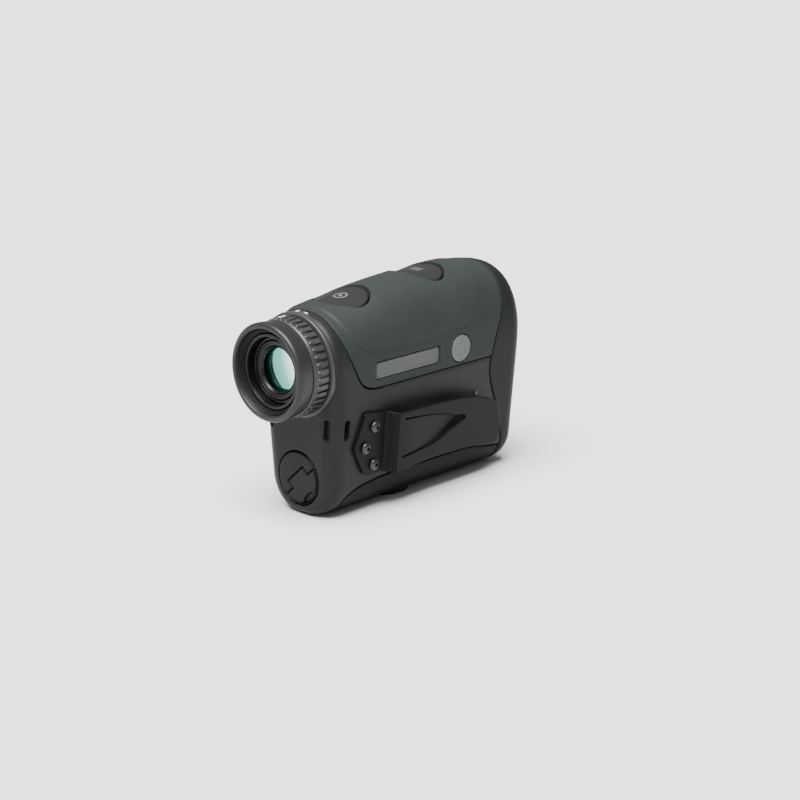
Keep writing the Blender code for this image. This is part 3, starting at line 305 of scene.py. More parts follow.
def sheet(name, surface, loops, rims=None, edge=0.3, depth=1.6, spacing=1.2, lift=None, extra=(), back=False,
          floor=(), walls=None):
    """A sheet over the region inside loops[0] and outside the other loops.

    surface(u, v, depth) gives points, the rims are rounded by edge and folded down to depth, lift(points)
    raises the sheet, extra holds more points for fine shapes, and floor closes the folds of holes by number.
    """
    rims = [closed_line(loop) for loop in loops] if rims is None else rims
    rows = edge * np.array([0.08, 0.3, 0.62, 1.05])
    found = [loop for loop in loops]
    for line in rims:
        middle = line[:-1]
        along = np.diff(line, axis=0)
        length = np.maximum(np.hypot(*along.T), 1e-9)[:, None]
        normal = np.stack([-along[:, 1], along[:, 0]], axis=1) / length
        for row in rows:
            for sense in (-1, 1):
                points = middle + normal * row * sense
                points = points[inside(points, loops)]
                if len(points):
                    found.append(points[distance(points, rims) > 0.93 * row])
    low, high = loops[0].min(0), loops[0].max(0)
    grid_u = np.arange(low[0], high[0] + spacing, spacing)
    grid_v = np.arange(low[1], high[1] + spacing, spacing * 0.87)
    grid = np.array([(u + (i % 2) * spacing / 2, v) for i, v in enumerate(grid_v) for u in grid_u])
    for points in [grid, *extra]:
        points = points[inside(points, loops)]
        if len(points):
            clear = distance(points, [closed_line(loop) for loop in loops])
            clear_rims = distance(points, rims) if len(rims) else clear
            limit = spacing * 0.45 if points is grid or len(points) == len(grid) else 0.2
            found.append(points[(clear > limit) & (clear_rims > rows[-1] + 0.3 * limit)])
    points = np.concatenate(found)
    edges = []
    start = 0
    for loop in loops:
        edges += [(start + i, start + (i + 1) % len(loop)) for i in range(len(loop))]
        start += len(loop)
    verts, _, faces, *_ = delaunay_2d_cdt([Vector(p) for p in points], edges, [], 0, 1e-6)
    flat = np.array([tuple(v) for v in verts])
    faces = np.array([face for face in faces if len(face) == 3])
    faces = faces[inside(flat[faces].mean(1), loops)]
    used, index = np.unique(faces, return_inverse=True)
    flat, faces = flat[used], index.reshape(-1, 3)
    gap = distance(flat, rims) if len(rims) else np.full(len(flat), 1e9)
    near = np.clip(edge - gap, 0, edge)
    fold = edge - np.sqrt(np.maximum(0, edge ** 2 - near ** 2))
    raised = lift(flat) if lift else 0
    top = surface(flat[:, 0], flat[:, 1], fold - raised)
    normal = np.cross(top[faces[:, 1]] - top[faces[:, 0]], top[faces[:, 2]] - top[faces[:, 0]])
    below = surface(flat[:, 0], flat[:, 1], fold - raised + 1.0)
    outward = (top - below)[faces[:, 0]]
    flip = (normal * outward).sum(1) < 0
    faces[flip] = faces[flip][:, ::-1]
    sides = np.concatenate([faces[:, [0, 1]], faces[:, [1, 2]], faces[:, [2, 0]]])
    key = {tuple(side) for side in sides.tolist()}
    border = [side for side in key if side[::-1] not in key]
    border = [(a, b) for a, b in border if gap[a] < 1e-3 and gap[b] < 1e-3]
    all_points = [top]
    all_faces = faces.tolist()
    count = len(top)
    ring = sorted({i for side in border for i in side})
    down = {}
    wall_depth = np.full(len(ring), depth, float)
    if len(ring):
        for i, k in enumerate(ring):
            down[k] = count + i
        all_points.append(surface(flat[ring, 0], flat[ring, 1], wall_depth))
        count += len(ring)
        all_faces += [(b, a, down[a], down[b]) for a, b in border]
    if back:
        rest = [k for k in range(len(flat)) if k not in down]
        for i, k in enumerate(rest):
            down[k] = count + i
        all_points.append(surface(flat[rest, 0], flat[rest, 1], np.full(len(rest), depth, float)))
        count += len(rest)
        all_faces += [(down[a], down[c], down[b]) for a, b, c in faces.tolist()]
    obj = mesh_of(name, np.concatenate(all_points), all_faces)
    wear = obj.data.attributes.new("rim", "FLOAT", "POINT")
    values = np.zeros(count, np.float32)
    values[:len(flat)] = np.exp(-gap / max(edge, 0.05) / 0.8)
    wear.data.foreach_set("value", values)
    for number in floor:
        loop = loops[number]
        closing = surface(loop[:, 0], loop[:, 1], np.full(len(loop), depth, float))
        cap = mesh_of(name + "_floor", closing, [range(len(closing))])
        join([obj, cap])
    return obj


def join(objects):
    """Makes the objects one, in the first."""
    with bpy.context.temp_override(active_object=objects[0], selected_editable_objects=objects,
                                   object=objects[0]):
        bpy.ops.object.join()
    return objects[0]


def weld(obj, gap=1e-6, outwards=False):
    work = bmesh.new()
    work.from_mesh(obj.data)
    bmesh.ops.remove_doubles(work, verts=work.verts, dist=gap)
    if outwards:
        bmesh.ops.recalc_face_normals(work, faces=work.faces)
    work.to_mesh(obj.data)
    work.free()
    obj.data.shade_smooth()
    obj.data.set_sharp_from_angle(angle=math.radians(40))
    return obj


def revolve(name, profile, centre=(0, EYE_Z), axis="Y", steps=128, shape=None, sharp=40):
    """A body turned about an axis from its (radius, place) profile, which goes once round the section.

    With axis Y the profile's places are y, and with Z they are z. shape(turn, radius, place) may change
    the radii.
    """
    profile = np.asarray(profile, float)
    turn = np.arange(steps) * 2 * math.pi / steps
    radius = np.repeat(profile[None, :, 0], steps, axis=0)
    height = np.repeat(profile[None, :, 1], steps, axis=0)
    if shape is not None:
        radius = shape(turn[:, None], radius, height)
    one, two = radius * np.cos(turn)[:, None], radius * np.sin(turn)[:, None]
    if axis == "Y":
        points = np.stack([centre[0] + one, height, centre[1] + two], axis=-1)
    else:
        points = np.stack([centre[0] + one, centre[1] + two, height], axis=-1)
    count = len(profile)
    faces = []
    for i in range(steps):
        after = (i + 1) % steps
        for j in range(count):
            k = (j + 1) % count
            if profile[j, 0] < 1e-6 and profile[k, 0] < 1e-6:
                continue
            faces.append((i * count + j, after * count + j, after * count + k, i * count + k))
    obj = mesh_of(name, points.reshape(-1, 3), faces, sharp)
    weld(obj, 1e-7, outwards=True)
    obj.data.set_sharp_from_angle(angle=math.radians(sharp))
    return obj


def corner(cx, cy, radius, start, end, count=5):
    """Points of a rounded corner in a profile, in degrees."""
    turn = np.radians(np.linspace(start, end, count))
    return [(cx + radius * math.cos(a), cy + radius * math.sin(a)) for a in turn]


# ---------------------------------------------------------------- covers

REACH_LOW = GIRTH
FRONT_JOIN = FRONT_Y - FRONT_EDGE_R + FRONT_EDGE_R * 0.6
REAR_PLACES = np.linspace(-GIRTH, GIRTH, 241)


def rear_end(u):
    """v where the rear edge's rounding meets the flat rear face."""
    u = np.asarray(u, float)
    _, z = place(u, np.full_like(u, REAR_Y))
    nx, _ = across(u, np.full_like(u, REAR_Y))
    radius = rear_radius(z, nx)
    return REAR_Y + radius * (1 - math.pi / 2)


def upper(line, z):
    """The part of a (u, y) seam above a height on the side, ending at that height."""
    limit = float(round_from_z(z, 0.0))
    line = line[line[:, 0] <= limit + 1e-6]
    return np.concatenate([line, [[limit, line[-1, 1]]]])


def seams():
    """The right-hand parting lines as (u, v), each from the crown or rear on."""
    half = SEAM / 2
    bezel_back = on_casing(BEZEL_SEAM, -half)
    bezel_front = on_casing(BEZEL_SEAM, half)
    rear_back = on_casing([(y - half, z - half) for y, z in ARMOR_REAR_SEAM])
    rear_front = on_casing([(y + half, z + half) for y, z in ARMOR_REAR_SEAM])
    pad_out = on_casing([(y - half, z + half) for y, z in PAD_SEAM])
    pad_in = on_casing([(y + half, z - half) for y, z in PAD_SEAM])
    return bezel_back, bezel_front, rear_back, rear_front, pad_out, pad_in


BEZEL_BACK, BEZEL_FRONT, REAR_BACK, REAR_FRONT, PAD_OUT, PAD_IN = seams()


def ellipse_on_crown(button, margin, step=0.6):
    """A button's outline in plan, as (u, v)."""
    centre, half_x, half_y = button
    turn = np.linspace(0, 2 * math.pi, int(2 * math.pi * half_x / step))[:-1]
    x = (half_x + margin) * np.cos(turn)
    y = centre + (half_y + margin) * np.sin(turn)
    return np.stack([round_from_x(x), y], axis=1)


def side_loop(outline):
    """A (y, z) loop on the right side as (u, v)."""
    outline = np.asarray(outline, float)
    return np.stack([round_from_z(outline[:, 1], outline[:, 0]), outline[:, 0]], axis=1)


PLATE_LOW, PLATE_HIGH = (-22.9, 49.1), (9.1, 54.8)
BADGE = (20.9, 52.0, 5.0)


def ridge_loop():
    right = on_casing(RIDGE[:9])
    front = on_casing(RIDGE[:7:-1])
    return path(right, front[::-1], step=0.5)


def step_smooth(value):
    value = np.clip(value, 0, 1)
    return value * value * (3 - 2 * value)


def make_top_armor():
    low = ARMOR_LOW_Z + SEAM / 2
    rear, front = upper(REAR_FRONT, low), upper(BEZEL_BACK, low)
    right = path(rear, [rear[-1], front[-1]], front[::-1])
    outline = path(right, mirrored(right))
    wells = [ellipse_on_crown(MEASURE_BUTTON, 0), ellipse_on_crown(MENU_BUTTON, 0)]
    (y0, z0), (y1, z1) = PLATE_LOW, PLATE_HIGH
    plate = side_loop(rounded_box((y0 - 0.3, z0 - 0.3), (y1 + 0.3, z1 + 0.3), 0.7))
    badge = side_loop(circle(BADGE[0], BADGE[1], BADGE[2] + 0.3, 0.5))
    ridge = ridge_loop()
    ridge = ridge[(ridge[:, 0] > 0.0)]
    ridge = np.concatenate([[[0, ridge[0, 1]]], ridge, [[0, ridge[-1, 1]]]])
    both = np.concatenate([ridge, mirrored(ridge)[1:-1]])
    lines = [closed_line(both)]
    side_line = [ridge, mirrored(ridge)]

    def lift(points):
        gap = distance(points, lines)
        sense = np.where(inside(points, [both]), 1, -1)
        return 0.42 * step_smooth(gap * sense / 0.9 + 0.5)

    along = np.diff(both, axis=0, append=both[:1])
    normal = np.stack([-along[:, 1], along[:, 0]], axis=1) / np.maximum(1e-6, np.hypot(*along.T))[:, None]
    fine = [both + normal * shift for shift in (-0.55, -0.33, -0.11, 0.11, 0.33, 0.55)]
    fine = np.concatenate(fine)
    return sheet("armor_top", casing, [outline, *wells, plate, badge], edge=0.32, depth=3.2, spacing=1.3,
                 lift=lift, extra=[fine])


def make_main_skin():
    low = ARMOR_LOW_Z - SEAM / 2
    rear, front = upper(REAR_BACK, low), BEZEL_BACK
    limit = float(round_from_z(low, 0.0))
    front = front[front[:, 0] >= limit]
    front = np.concatenate([[[limit, front[0, 1]]], front])
    pad_front = PAD_FRONT_Y + SEAM / 2
    pad = PAD_OUT[PAD_OUT[:, 1] < pad_front - 0.2]
    if pad[0, 0] < pad[-1, 0]:
        pad = pad[::-1]
    top = np.array([[pad[-1, 0], pad_front]])
    lower = path(pad, [pad[-1], top[0]], [top[0], (GIRTH, pad_front)])
    right = path(lower, [(GIRTH, pad_front), (GIRTH, front[-1, 1])], front[::-1],
                 [front[0], rear[-1]], rear[::-1])
    ring = np.stack([REAR_PLACES, rear_end(REAR_PLACES)], axis=1)
    start = [(-GIRTH, right[0, 1]), (-GIRTH, ring[0, 1])]
    finish = [(GIRTH, ring[-1, 1]), (GIRTH, right[0, 1])]
    outline = np.concatenate([right, mirrored(right), spaced(start, 0.8)[1:-1], ring,
                              spaced(finish, 0.8)[1:-1]])
    keep = np.hypot(*(outline - np.roll(outline, 1, axis=0)).T) > 0.02
    outline = outline[keep]
    seam_lines = [lower, front, np.array([front[0], rear[-1]]), rear]
    holes = []
    for sense in (-1, 1):
        for v0, v1 in ((-45.35, -42.75), (-37.35, -34.85)):
            u0, u1 = (float(round_from_z(z, REAR_Y)) for z in (36.9, 29.3))
            box = rounded_box((u0, v0), (u1, v1), 1.1, 0.4)
            holes.append(box * [sense, 1])
    rims = seam_lines + [mirrored(line) for line in seam_lines] + [closed_line(hole) for hole in holes]
    skin = sheet("housing_skin", casing, [outline, *holes], rims=rims, edge=0.3, depth=2.2, spacing=1.3,
                 floor=range(1, 5))
    return skin


def rear_plane(x, z, depth):
    return np.stack([x, REAR_Y + depth, z], axis=-1)


def make_rear_face():
    ring = casing(REAR_PLACES[:-1], rear_end(REAR_PLACES[:-1]), np.zeros(len(REAR_PLACES) - 1))
    outline = ring[:, [0, 2]]
    keep = np.hypot(*(outline - np.roll(outline, 1, axis=0)).T) > 0.02
    holes = [circle(0, EYE_Z, 15.2), circle(0, CELL_Z, 10.05, 0.5)]
    rims = [closed_line(holes[1])]
    return sheet("rear_face", rear_plane, [outline[keep], *holes], rims=rims, edge=0.3, depth=4.4, spacing=2)


def make_housing():
    skin = join([make_main_skin(), make_rear_face()])
    weld(skin, 4e-6)
    return skin


def make_collar():
    end = -43.1
    profile = [(18.5, -38.0), (18.5, end + 0.5), *corner(18.0, end + 0.5, 0.5, 0, -90)[1:],
               *corner(15.2, end + 0.4, 0.4, -90, -180), (14.8, -36.0), (17.0, -36.0)]
    return revolve("eyepiece_collar", profile, steps=160)


def front_tree():
    """The casing's front as a fine grid, to find its depth at any x and z."""
    from mathutils.bvhtree import BVHTree
    us = np.linspace(-GIRTH, GIRTH, 361)
    vs = np.linspace(FRONT_JOIN - 1, FRONT_Y + 5.0, 49)
    grid_u, grid_v = np.meshgrid(us, vs, indexing="ij")
    points = casing(grid_u.ravel(), grid_v.ravel(), np.zeros(grid_u.size))
    rows = len(vs)
    faces = [(i * rows + j, (i + 1) * rows + j, (i + 1) * rows + j + 1, i * rows + j + 1)
             for i in range(len(us) - 1) for j in range(rows - 1)]
    return BVHTree.FromPolygons(points.tolist(), faces)


FRONT_TREE = front_tree()


def front_face(x, z, depth):
    """A point of the front at x and z. The middle, past the grid, is flat."""
    y = np.full(len(x), FRONT_Y)
    for i, (a, b) in enumerate(zip(x, z)):
        for nudge in (0.0, 0.02, -0.02):
            hit = FRONT_TREE.ray_cast(Vector((a + nudge, FRONT_Y + 30, b + nudge)), Vector((0, -1, 0)))[0]
            if hit is not None and hit.y > FRONT_Y - 8:
                y[i] = hit.y
                break
    return np.stack([x, y - depth, z], axis=-1)


def make_bezel():
    seam = BEZEL_FRONT
    places = np.linspace(GIRTH, -GIRTH, 241)
    ring = np.stack([places, np.full_like(places, FRONT_JOIN)], axis=1)
    outline = np.concatenate([seam, spaced([(GIRTH, seam[-1, 1]), ring[0]], 0.8)[1:-1], ring,
                              spaced([ring[-1], (-GIRTH, seam[-1, 1])], 0.8)[1:-1], mirrored(seam)[:-1]])
    keep = np.hypot(*(outline - np.roll(outline, 1, axis=0)).T) > 0.02
    skin = sheet("bezel_skin", casing, [outline[keep]], rims=[seam, mirrored(seam)], edge=0.35, depth=2.0,
                 spacing=1.3)
    edge = casing(places[:-1], np.full(len(places) - 1, FRONT_JOIN), np.zeros(len(places) - 1))[:, [0, 2]]
    keep = np.hypot(*(edge - np.roll(edge, 1, axis=0)).T) > 0.02
    holes = [circle(0, EYE_Z, 14.6, 0.5), circle(0, LASER_Z, 8.5, 0.5)]
    face = sheet("bezel_face", front_face, [edge[keep], *holes], rims=[closed_line(hole) for hole in holes],
                 edge=0.5, depth=4.0, spacing=1.2)
    return weld(join([skin, face]), 5e-6)


def bottom_u(x):
    """u on the underside at an x, going on past the middle to the left."""
    x = np.asarray(x, float)
    turn = np.arccos(np.clip((np.abs(x) - BELLY_CENTRE_X) / BELLY_R, -1, 1))
    length = np.where(np.abs(x) > BELLY_CENTRE_X, BELLY_CENTRE_X + BELLY_R * (math.pi / 2 - turn), np.abs(x))
    return GIRTH - np.sign(x) * length


def make_pad():
    front = PAD_FRONT_Y - SEAM / 2
    pad = PAD_IN[PAD_IN[:, 1] < front - 0.2]
    if pad[0, 0] < pad[-1, 0]:
        pad = pad[::-1]
    corner_point = np.array([pad[-1, 0], front])
    right = path(pad, [pad[-1], corner_point], [corner_point, (GIRTH, front)])
    left = right[::-1] * [-1, 1] + [2 * GIRTH, 0]
    outline = path(right, left)
    window = circle(0, 0, 9.9, 0.6)
    window = np.stack([bottom_u(window[:, 0]), window[:, 1]], axis=1)
    return sheet("armor_bottom", casing, [outline, window], edge=0.32, depth=1.6, spacing=1.3)


def make_boss():
    profile = [(9.6, 4.5), *corner(9.1, 0.5, 0.5, 0, -90), *corner(5.7, 0.4, 0.4, -90, -180), (5.3, 4.5)]
    return revolve("tripod_boss", profile, (0, 0), "Z", steps=96)


def make_insert():
    profile = [(5.0, 6.6), *corner(4.7, 0.3, 0.3, 0, -90, 3)]
    profile += [*corner(3.5, 0.3, 0.3, -90, -180, 3)]
    place_z = 0.8
    while place_z < 5.6:
        profile += [(3.2, place_z), (2.75, place_z + 0.35), (3.2, place_z + 0.7)]
        place_z += 1.0
    profile += [(3.2, 6.0), (0.0, 6.0), (0.0, 6.6)]
    return revolve("tripod_socket_insert", profile, (0, 0), "Z", steps=64)


# ---------------------------------------------------------------- labels and buttons

def sunk(depth_under):
    def surface(u, v, depth):
        return casing(u, v, depth + depth_under)
    return surface


def make_plate():
    outline = side_loop(rounded_box(PLATE_LOW, PLATE_HIGH, 0.6, 0.4))
    rim = closed_line(outline)

    def lift(points):
        gap = distance(points, [rim])
        return -0.15 * step_smooth((gap - 0.5) / 0.2)

    rows = [outline + 0 * outline]
    inner = [side_loop(rounded_box((PLATE_LOW[0] + m, PLATE_LOW[1] + m), (PLATE_HIGH[0] - m, PLATE_HIGH[1] - m),
                                   0.4, 0.4)) for m in (0.5, 0.6, 0.7, 0.85)]
    return sheet("label_plate", sunk(0.3), [outline], edge=0.12, depth=0.5, spacing=0.8, lift=lift,
                 extra=[np.concatenate(inner)], back=True)


def make_badge():
    y, z, radius = BADGE
    outline = side_loop(circle(y, z, radius, 0.35))
    rings = np.concatenate([circle(y, z, r, 0.16) for r in np.arange(0.15, radius - 0.3, 0.16)])

    def lift(points):
        centre = side_loop([(y, z)])[0]
        du, dv = points[:, 0] - centre[0], points[:, 1] - centre[1]
        reach = np.hypot(du, dv)
        ring = step_smooth((0.32 - np.abs(reach - 2.9)) / 0.14)
        bar = np.minimum(np.abs(du), np.abs(dv))
        cross = step_smooth((0.26 - bar) / 0.14) * step_smooth((4.0 - reach) / 0.15)
        cross *= step_smooth((reach - 0.9) / 0.15)
        dish = -0.12 * step_smooth((4.45 - reach) / 0.2)
        return dish + 0.2 * np.maximum(ring, cross)

    return sheet("crosshair_badge", sunk(0.0), [outline], edge=0.22, depth=0.7, spacing=0.5, lift=lift,
                 extra=[side_loop(rings)], back=True)


def make_button(name, button):
    outline = ellipse_on_crown(button, -0.5)
    centre = button[0]

    def lift(points):
        x, _ = place(points[:, 0], points[:, 1])
        share = np.hypot(x / (button[1] - 0.5), (points[:, 1] - centre) / (button[2] - 0.5))
        return -0.12 * step_smooth((0.62 - share) / 0.5)

    return sheet(name, sunk(0.4), [outline], edge=0.7, depth=3.0, spacing=0.9, lift=lift, back=True)


def marking(name, surface, *loops):
    """A thin printed mark lying on a surface, from its outline and holes."""
    return sheet(name, surface, list(loops), edge=0.03, depth=0.12, spacing=0.3)


def on_crown(outline):
    """A plan outline, in (x, y), as (u, v) on the crown."""
    outline = np.asarray(outline, float)
    return np.stack([round_from_x(outline[:, 0]), outline[:, 1]], axis=1)


def rear_band(u, v, depth):
    """The crown's rear band, with the eyepiece collar standing through it."""
    points = casing(u, v, depth - 0.05)
    collar = EYE_Z + np.sqrt(18.56 ** 2 - points[..., 0] ** 2) - depth
    points[..., 2] = np.maximum(points[..., 2], collar)
    return points


def make_dial_marks():
    """A nought with a minus and a plus on the casing's rear band, over the diopter ring."""
    surface = rear_band
    x, y = -1.6, -39.9
    nought = [on_crown(circle(x, y, 0.75, 0.2)), on_crown(circle(x, y, 0.45, 0.15))]
    minus = on_crown(rounded_box((1.6, y - 0.22), (3.4, y + 0.22), 0.15, 0.15))
    plus = on_crown(rounded_box((-8.6, y - 0.2), (-7.0, y + 0.2), 0.12, 0.15))
    upright = on_crown(rounded_box((-8.0, y - 0.8), (-7.6, y + 0.8), 0.12, 0.15))
    return [marking("dial_nought", surface, *nought), marking("dial_minus", surface, minus),
            marking("dial_plus", surface, plus), marking("dial_plus_upright", surface, upright)]


def make_dial_index():
    """A pointer on the diopter ring's land, left of the top."""
    lean, radius = math.radians(-11), 17.56

    def surface(a, b, depth):
        turn = lean + a / radius
        reach = radius - depth
        return np.stack([reach * np.sin(turn), b, EYE_Z + reach * np.cos(turn)], axis=-1)

    return marking("dial_index", surface, rounded_box((-0.6, -47.2), (0.6, -44.2), 0.2, 0.2))


def make_key_marks():
    """A ring and dot on the measuring key, and three bars on the menu key."""
    surface = sunk(0.47)
    y = MEASURE_BUTTON[0]
    marks = [("measure_key", "measure_mark", [on_crown(circle(0, y, 2.6, 0.3)), on_crown(circle(0, y, 2.1, 0.3))]),
             ("measure_key", "measure_mark_dot", [on_crown(circle(0, y, 0.7, 0.2))])]
    y = MENU_BUTTON[0]
    for i in (-1, 0, 1):
        bar = rounded_box((-2.2, y + 1.3 * i - 0.25), (2.2, y + 1.3 * i + 0.25), 0.15, 0.2)
        marks.append(("menu_key", f"menu_mark_{i + 2}", [on_crown(bar)]))
    return [(body, marking(name, surface, *loops)) for body, name, loops in marks]


# ---------------------------------------------------------------- eyepiece

DIOPTER_RIBS = 40


def make_diopter():
    rear, front, outer = -50.3, -43.5, 17.5
    step = np.linspace(rear + 0.35, front - 0.45, 36)
    profile = [(13.6, front), (outer - 0.8, front), *corner(outer - 0.7, front - 0.4, 0.4, 90, 20, 4)]
    profile += [(outer - 0.3, y) for y in step[::-1]]
    profile += [*corner(outer - 0.75, rear + 0.35, 0.35, -10, -90, 4), (13.6, rear)]

    def shape(turn, radius, y):
        phase = (turn * DIOPTER_RIBS / (2 * math.pi)) % 1.0
        reach = np.abs(phase - 0.5) * 2
        along = np.clip((y - rear) / (front - rear), 0, 1)
        width = np.interp(along, [0.0, 0.24, 0.30, 0.55, 0.94, 1.0], [0, 0, 0.35, 0.66, 0.66, 0.5])
        rib = step_smooth((width - reach) / 0.14 + 0.5) * step_smooth((along - 0.24) / 0.05)
        rib = rib * step_smooth((0.985 - along) / 0.03)
        groove = step_smooth((0.05 - np.abs(along - 0.13)) / 0.03)
        ribbed = outer - 0.72 + 0.72 * rib - 0.25 * groove
        return np.where(radius > outer - 0.35, ribbed, radius)

    return revolve("diopter_grip", profile, steps=DIOPTER_RIBS * 14, shape=shape, sharp=55)


def make_eyecup():
    end, front, outer, mouth = -57.1, -50.7, 17.3, 15.1
    profile = [(outer - 0.55, front), *corner(outer - 0.75, front - 0.3, 0.3, 60, 0, 4)]
    profile += [(outer - 0.25, front - 1.4), (outer, end + 2.6)]
    profile += [*corner(outer - 1.25, end + 1.25, 1.25, 0, -90, 9)]
    profile += [*corner(mouth + 0.55, end + 0.55, 0.55, -90, -170, 5)]
    profile += [(mouth - 0.1, end + 1.4), (13.95, -54.2), (13.95, front)]
    return revolve("rubber_eyecup", profile, steps=160)


def make_eyecup_shade_sheet():
    """The stepped inside of the eyecup as a near-black sheet: painted shade in the cup's hollow, over real ridges."""
    front = -50.7
    profile = [(13.9, front), (13.9, -54.15), (14.9, -55.75), (14.72, -55.85)]
    for place_y, inner in ((-55.3, 14.5), (-54.7, 14.15), (-54.1, 13.8)):
        profile += [(inner, place_y - 0.12), (inner - 0.28, place_y), (inner - 0.1, place_y + 0.25)]
    profile += [(13.5, -53.6), (13.5, front)]
    return revolve("eyecup_inside_painted_shade", profile, steps=160)


def make_carrier():
    inner, outer, rear, front = 11.9, 13.2, -54.4, -45.0
    profile = [(outer, front), *corner(outer - 0.25, rear + 0.25, 0.25, 0, -90, 4),
               *corner(inner + 0.25, rear + 0.25, 0.25, -90, -180, 4), (inner, front)]
    return revolve("eyecup_sleeve", profile, steps=128)


def make_ocular_tube():
    bore, outer, end = 10.6, 11.6, -51.7
    flange_end, flange_start = -40.9, -38.9
    profile = [(14.5, flange_start), (14.5, flange_end), (outer, flange_end),
               *corner(outer - 0.2, end + 0.2, 0.2, 0, -90, 4), *corner(bore + 0.2, end + 0.2, 0.2, -90, -180, 4),
               (bore, flange_start)]
    return revolve("ocular_tube", profile, steps=128)


def make_ocular_ring():
    rear, front = -51.7, -50.2
    profile = [(10.2, front), (10.2, rear + 0.15), (10.05, rear), (9.5, rear), (9.35, rear + 0.3),
               (8.6, rear + 0.45), (8.4, rear + 0.3), (8.2, rear + 0.5), (7.8, rear + 0.9), (7.8, front)]
    return revolve("ocular_lock_ring", profile, steps=128)


def lens(name, radius, rear, front, rear_bulge, front_bulge, centre_z):
    """A biconvex lens from its flat edge's two places."""
    share = np.linspace(0, 1, 15)
    face = [(radius * s, front + front_bulge * (1 - s * s)) for s in share]
    back = [(radius * s, rear - rear_bulge * (1 - s * s)) for s in share[::-1]]
    return revolve(name, [*face, *back], (0, centre_z), steps=96)


# ---------------------------------------------------------------- battery compartment

CAP_FACE, CAP_R = -42.5, 9.7
TAB_ALONG = np.array([math.cos(math.radians(42)), math.sin(math.radians(42))])
TAB_OUT = np.array([math.sin(math.radians(42)), -math.cos(math.radians(42))])


def cap_plane(a, b, depth):
    """Points on the cap's face from x and height round its centre."""
    return np.stack([a, CAP_FACE + depth, CELL_Z + b], axis=-1)


def tab_loop(margin, round_off=0.0):
    """The tab's outline on the cap: a segment with a knuckle on its straight side."""
    radius = CAP_R - 0.9 + margin
    line = 1.5 - margin
    half = 4.6 + margin
    top = line - 3.3
    reach = math.degrees(math.acos(line / radius))
    curve = arc(0, 0, radius, -reach, reach, 0.4)
    ends = [(line, half), (top, half), (top, -half), (line, -half)]
    loop = path(curve, [curve[-1], ends[0]], ends, [ends[-1], curve[0]], step=0.4)
    return loop[:, [1]] * TAB_ALONG + loop[:, [0]] * TAB_OUT


def make_cap():
    outline = circle(0, 0, CAP_R - 0.1, 0.4)
    pocket = tab_loop(0.4)
    return sheet("battery_lid", cap_plane, [outline, pocket], edge=0.55, depth=3.4, spacing=0.9, floor=[1])


def make_tab():
    outline = tab_loop(0.0)
    centre = TAB_OUT * (CAP_R + 3.9)

    def lift(points):
        reach = np.hypot(*(points - centre).T)
        return -0.95 * step_smooth((7.15 - reach) / 0.45)

    fine = np.concatenate([circle(centre[0], centre[1], r, 0.25) for r in np.arange(6.5, 7.4, 0.12)])
    return sheet("battery_lid_tab", cap_plane, [outline], edge=0.35, depth=1.8, spacing=0.7, lift=lift,
                 extra=[fine], back=True)


# ---------------------------------------------------------------- belt clip

CLIP_Z = 25.0
SIDE_BASE = np.array([side_x(CLIP_Z), 0, CLIP_Z])
SIDE_OUT = np.array([math.cos(LEAN), 0, -math.sin(LEAN)])
SIDE_UP = np.array([math.sin(LEAN), 0, math.cos(LEAN)])
CLIP_BASE = [(-27.3, 13.3), (-28.9, 12.6), (-31.0, 7.0), (-33.2, 1.4), (-33.1, 0.0), (-30.2, -5.5), (-28.0, -9.4),
             (-26.6, -10.2)]
CLIP_BOTTOM = [(-26.6, -10.2), (-17.5, -10.6), (0, -9.3), (20, -9.6), (31, -10.8), (38, -11.4)]
CLIP_NOSE = [(38, -11.4), (39.6, -10), (40, -5), (38.9, 1), (37.8, 3.8), (35, 6.3)]
CLIP_TOP = [(35, 6.3), (29.3, 8.2), (22.3, 9.9), (11.7, 11), (1, 11.5), (-9, 11.7), (-17.5, 11.9), (-24, 12.8),
            (-27.3, 13.3)]
LANCE_TOP = [(-13, 9.4), (-3, 8.4), (6, 7), (14.4, 4.7)]
LANCE_NOSE = [(14.4, 4.7), (18.6, 3.9), (19.7, 2.5)]
LANCE_BOTTOM = [(19.7, 2.5), (11.8, -0.4), (5, -3), (-3.6, -4.4), (-13, -5.3)]
SHEET, BELT_GAP = 1.0, 4.6
SCREWS = [(-24, 7.5), (-28, 0.4), (-23.4, -6.6)]


def lance_lines():
    outer = np.concatenate([smooth_line(LANCE_TOP, 12), smooth_line(LANCE_NOSE, 8)[1:],
                            smooth_line(LANCE_BOTTOM, 12)[1:]])
    outer = spaced(outer, 0.4)
    along = np.gradient(outer, axis=0)
    normal = np.stack([along[:, 1], -along[:, 0]], axis=1) / np.hypot(*along.T)[:, None]
    return outer, outer + normal * 0.22, outer + normal * 0.45


LANCE_OUTER, LANCE_MIDDLE, LANCE_INNER = lance_lines()


def clip_height(y, v):
    """Height of the clip's outer face off the body: a base plate, a joggle and the tongue with its lance."""
    rise = step_smooth((y + 18.6) / 2.8)
    height = 0.3 + SHEET + (BELT_GAP - 0.3) * rise
    points = np.stack([y, v], axis=1)
    middle = np.concatenate([LANCE_MIDDLE, [(-16, -6), (-16, 10)]])
    tongue = inside(points, [middle])
    share = np.clip((y + 11.5) / 31, 0, 1)
    return height - np.where(tongue, 2.4 * share ** 1.15, 0)


def clip_face(y, v, depth):
    height = clip_height(y, v)
    slope = (clip_height(y + 0.02, v) - clip_height(y - 0.02, v)) / 0.04
    slope = np.where(np.abs(slope) > 4, 0, slope)
    length = np.hypot(1, slope)
    y = y + slope / length * depth
    height = height - depth / length
    return SIDE_BASE + y[:, None] * [0, 1, 0] + v[:, None] * SIDE_UP + height[:, None] * SIDE_OUT


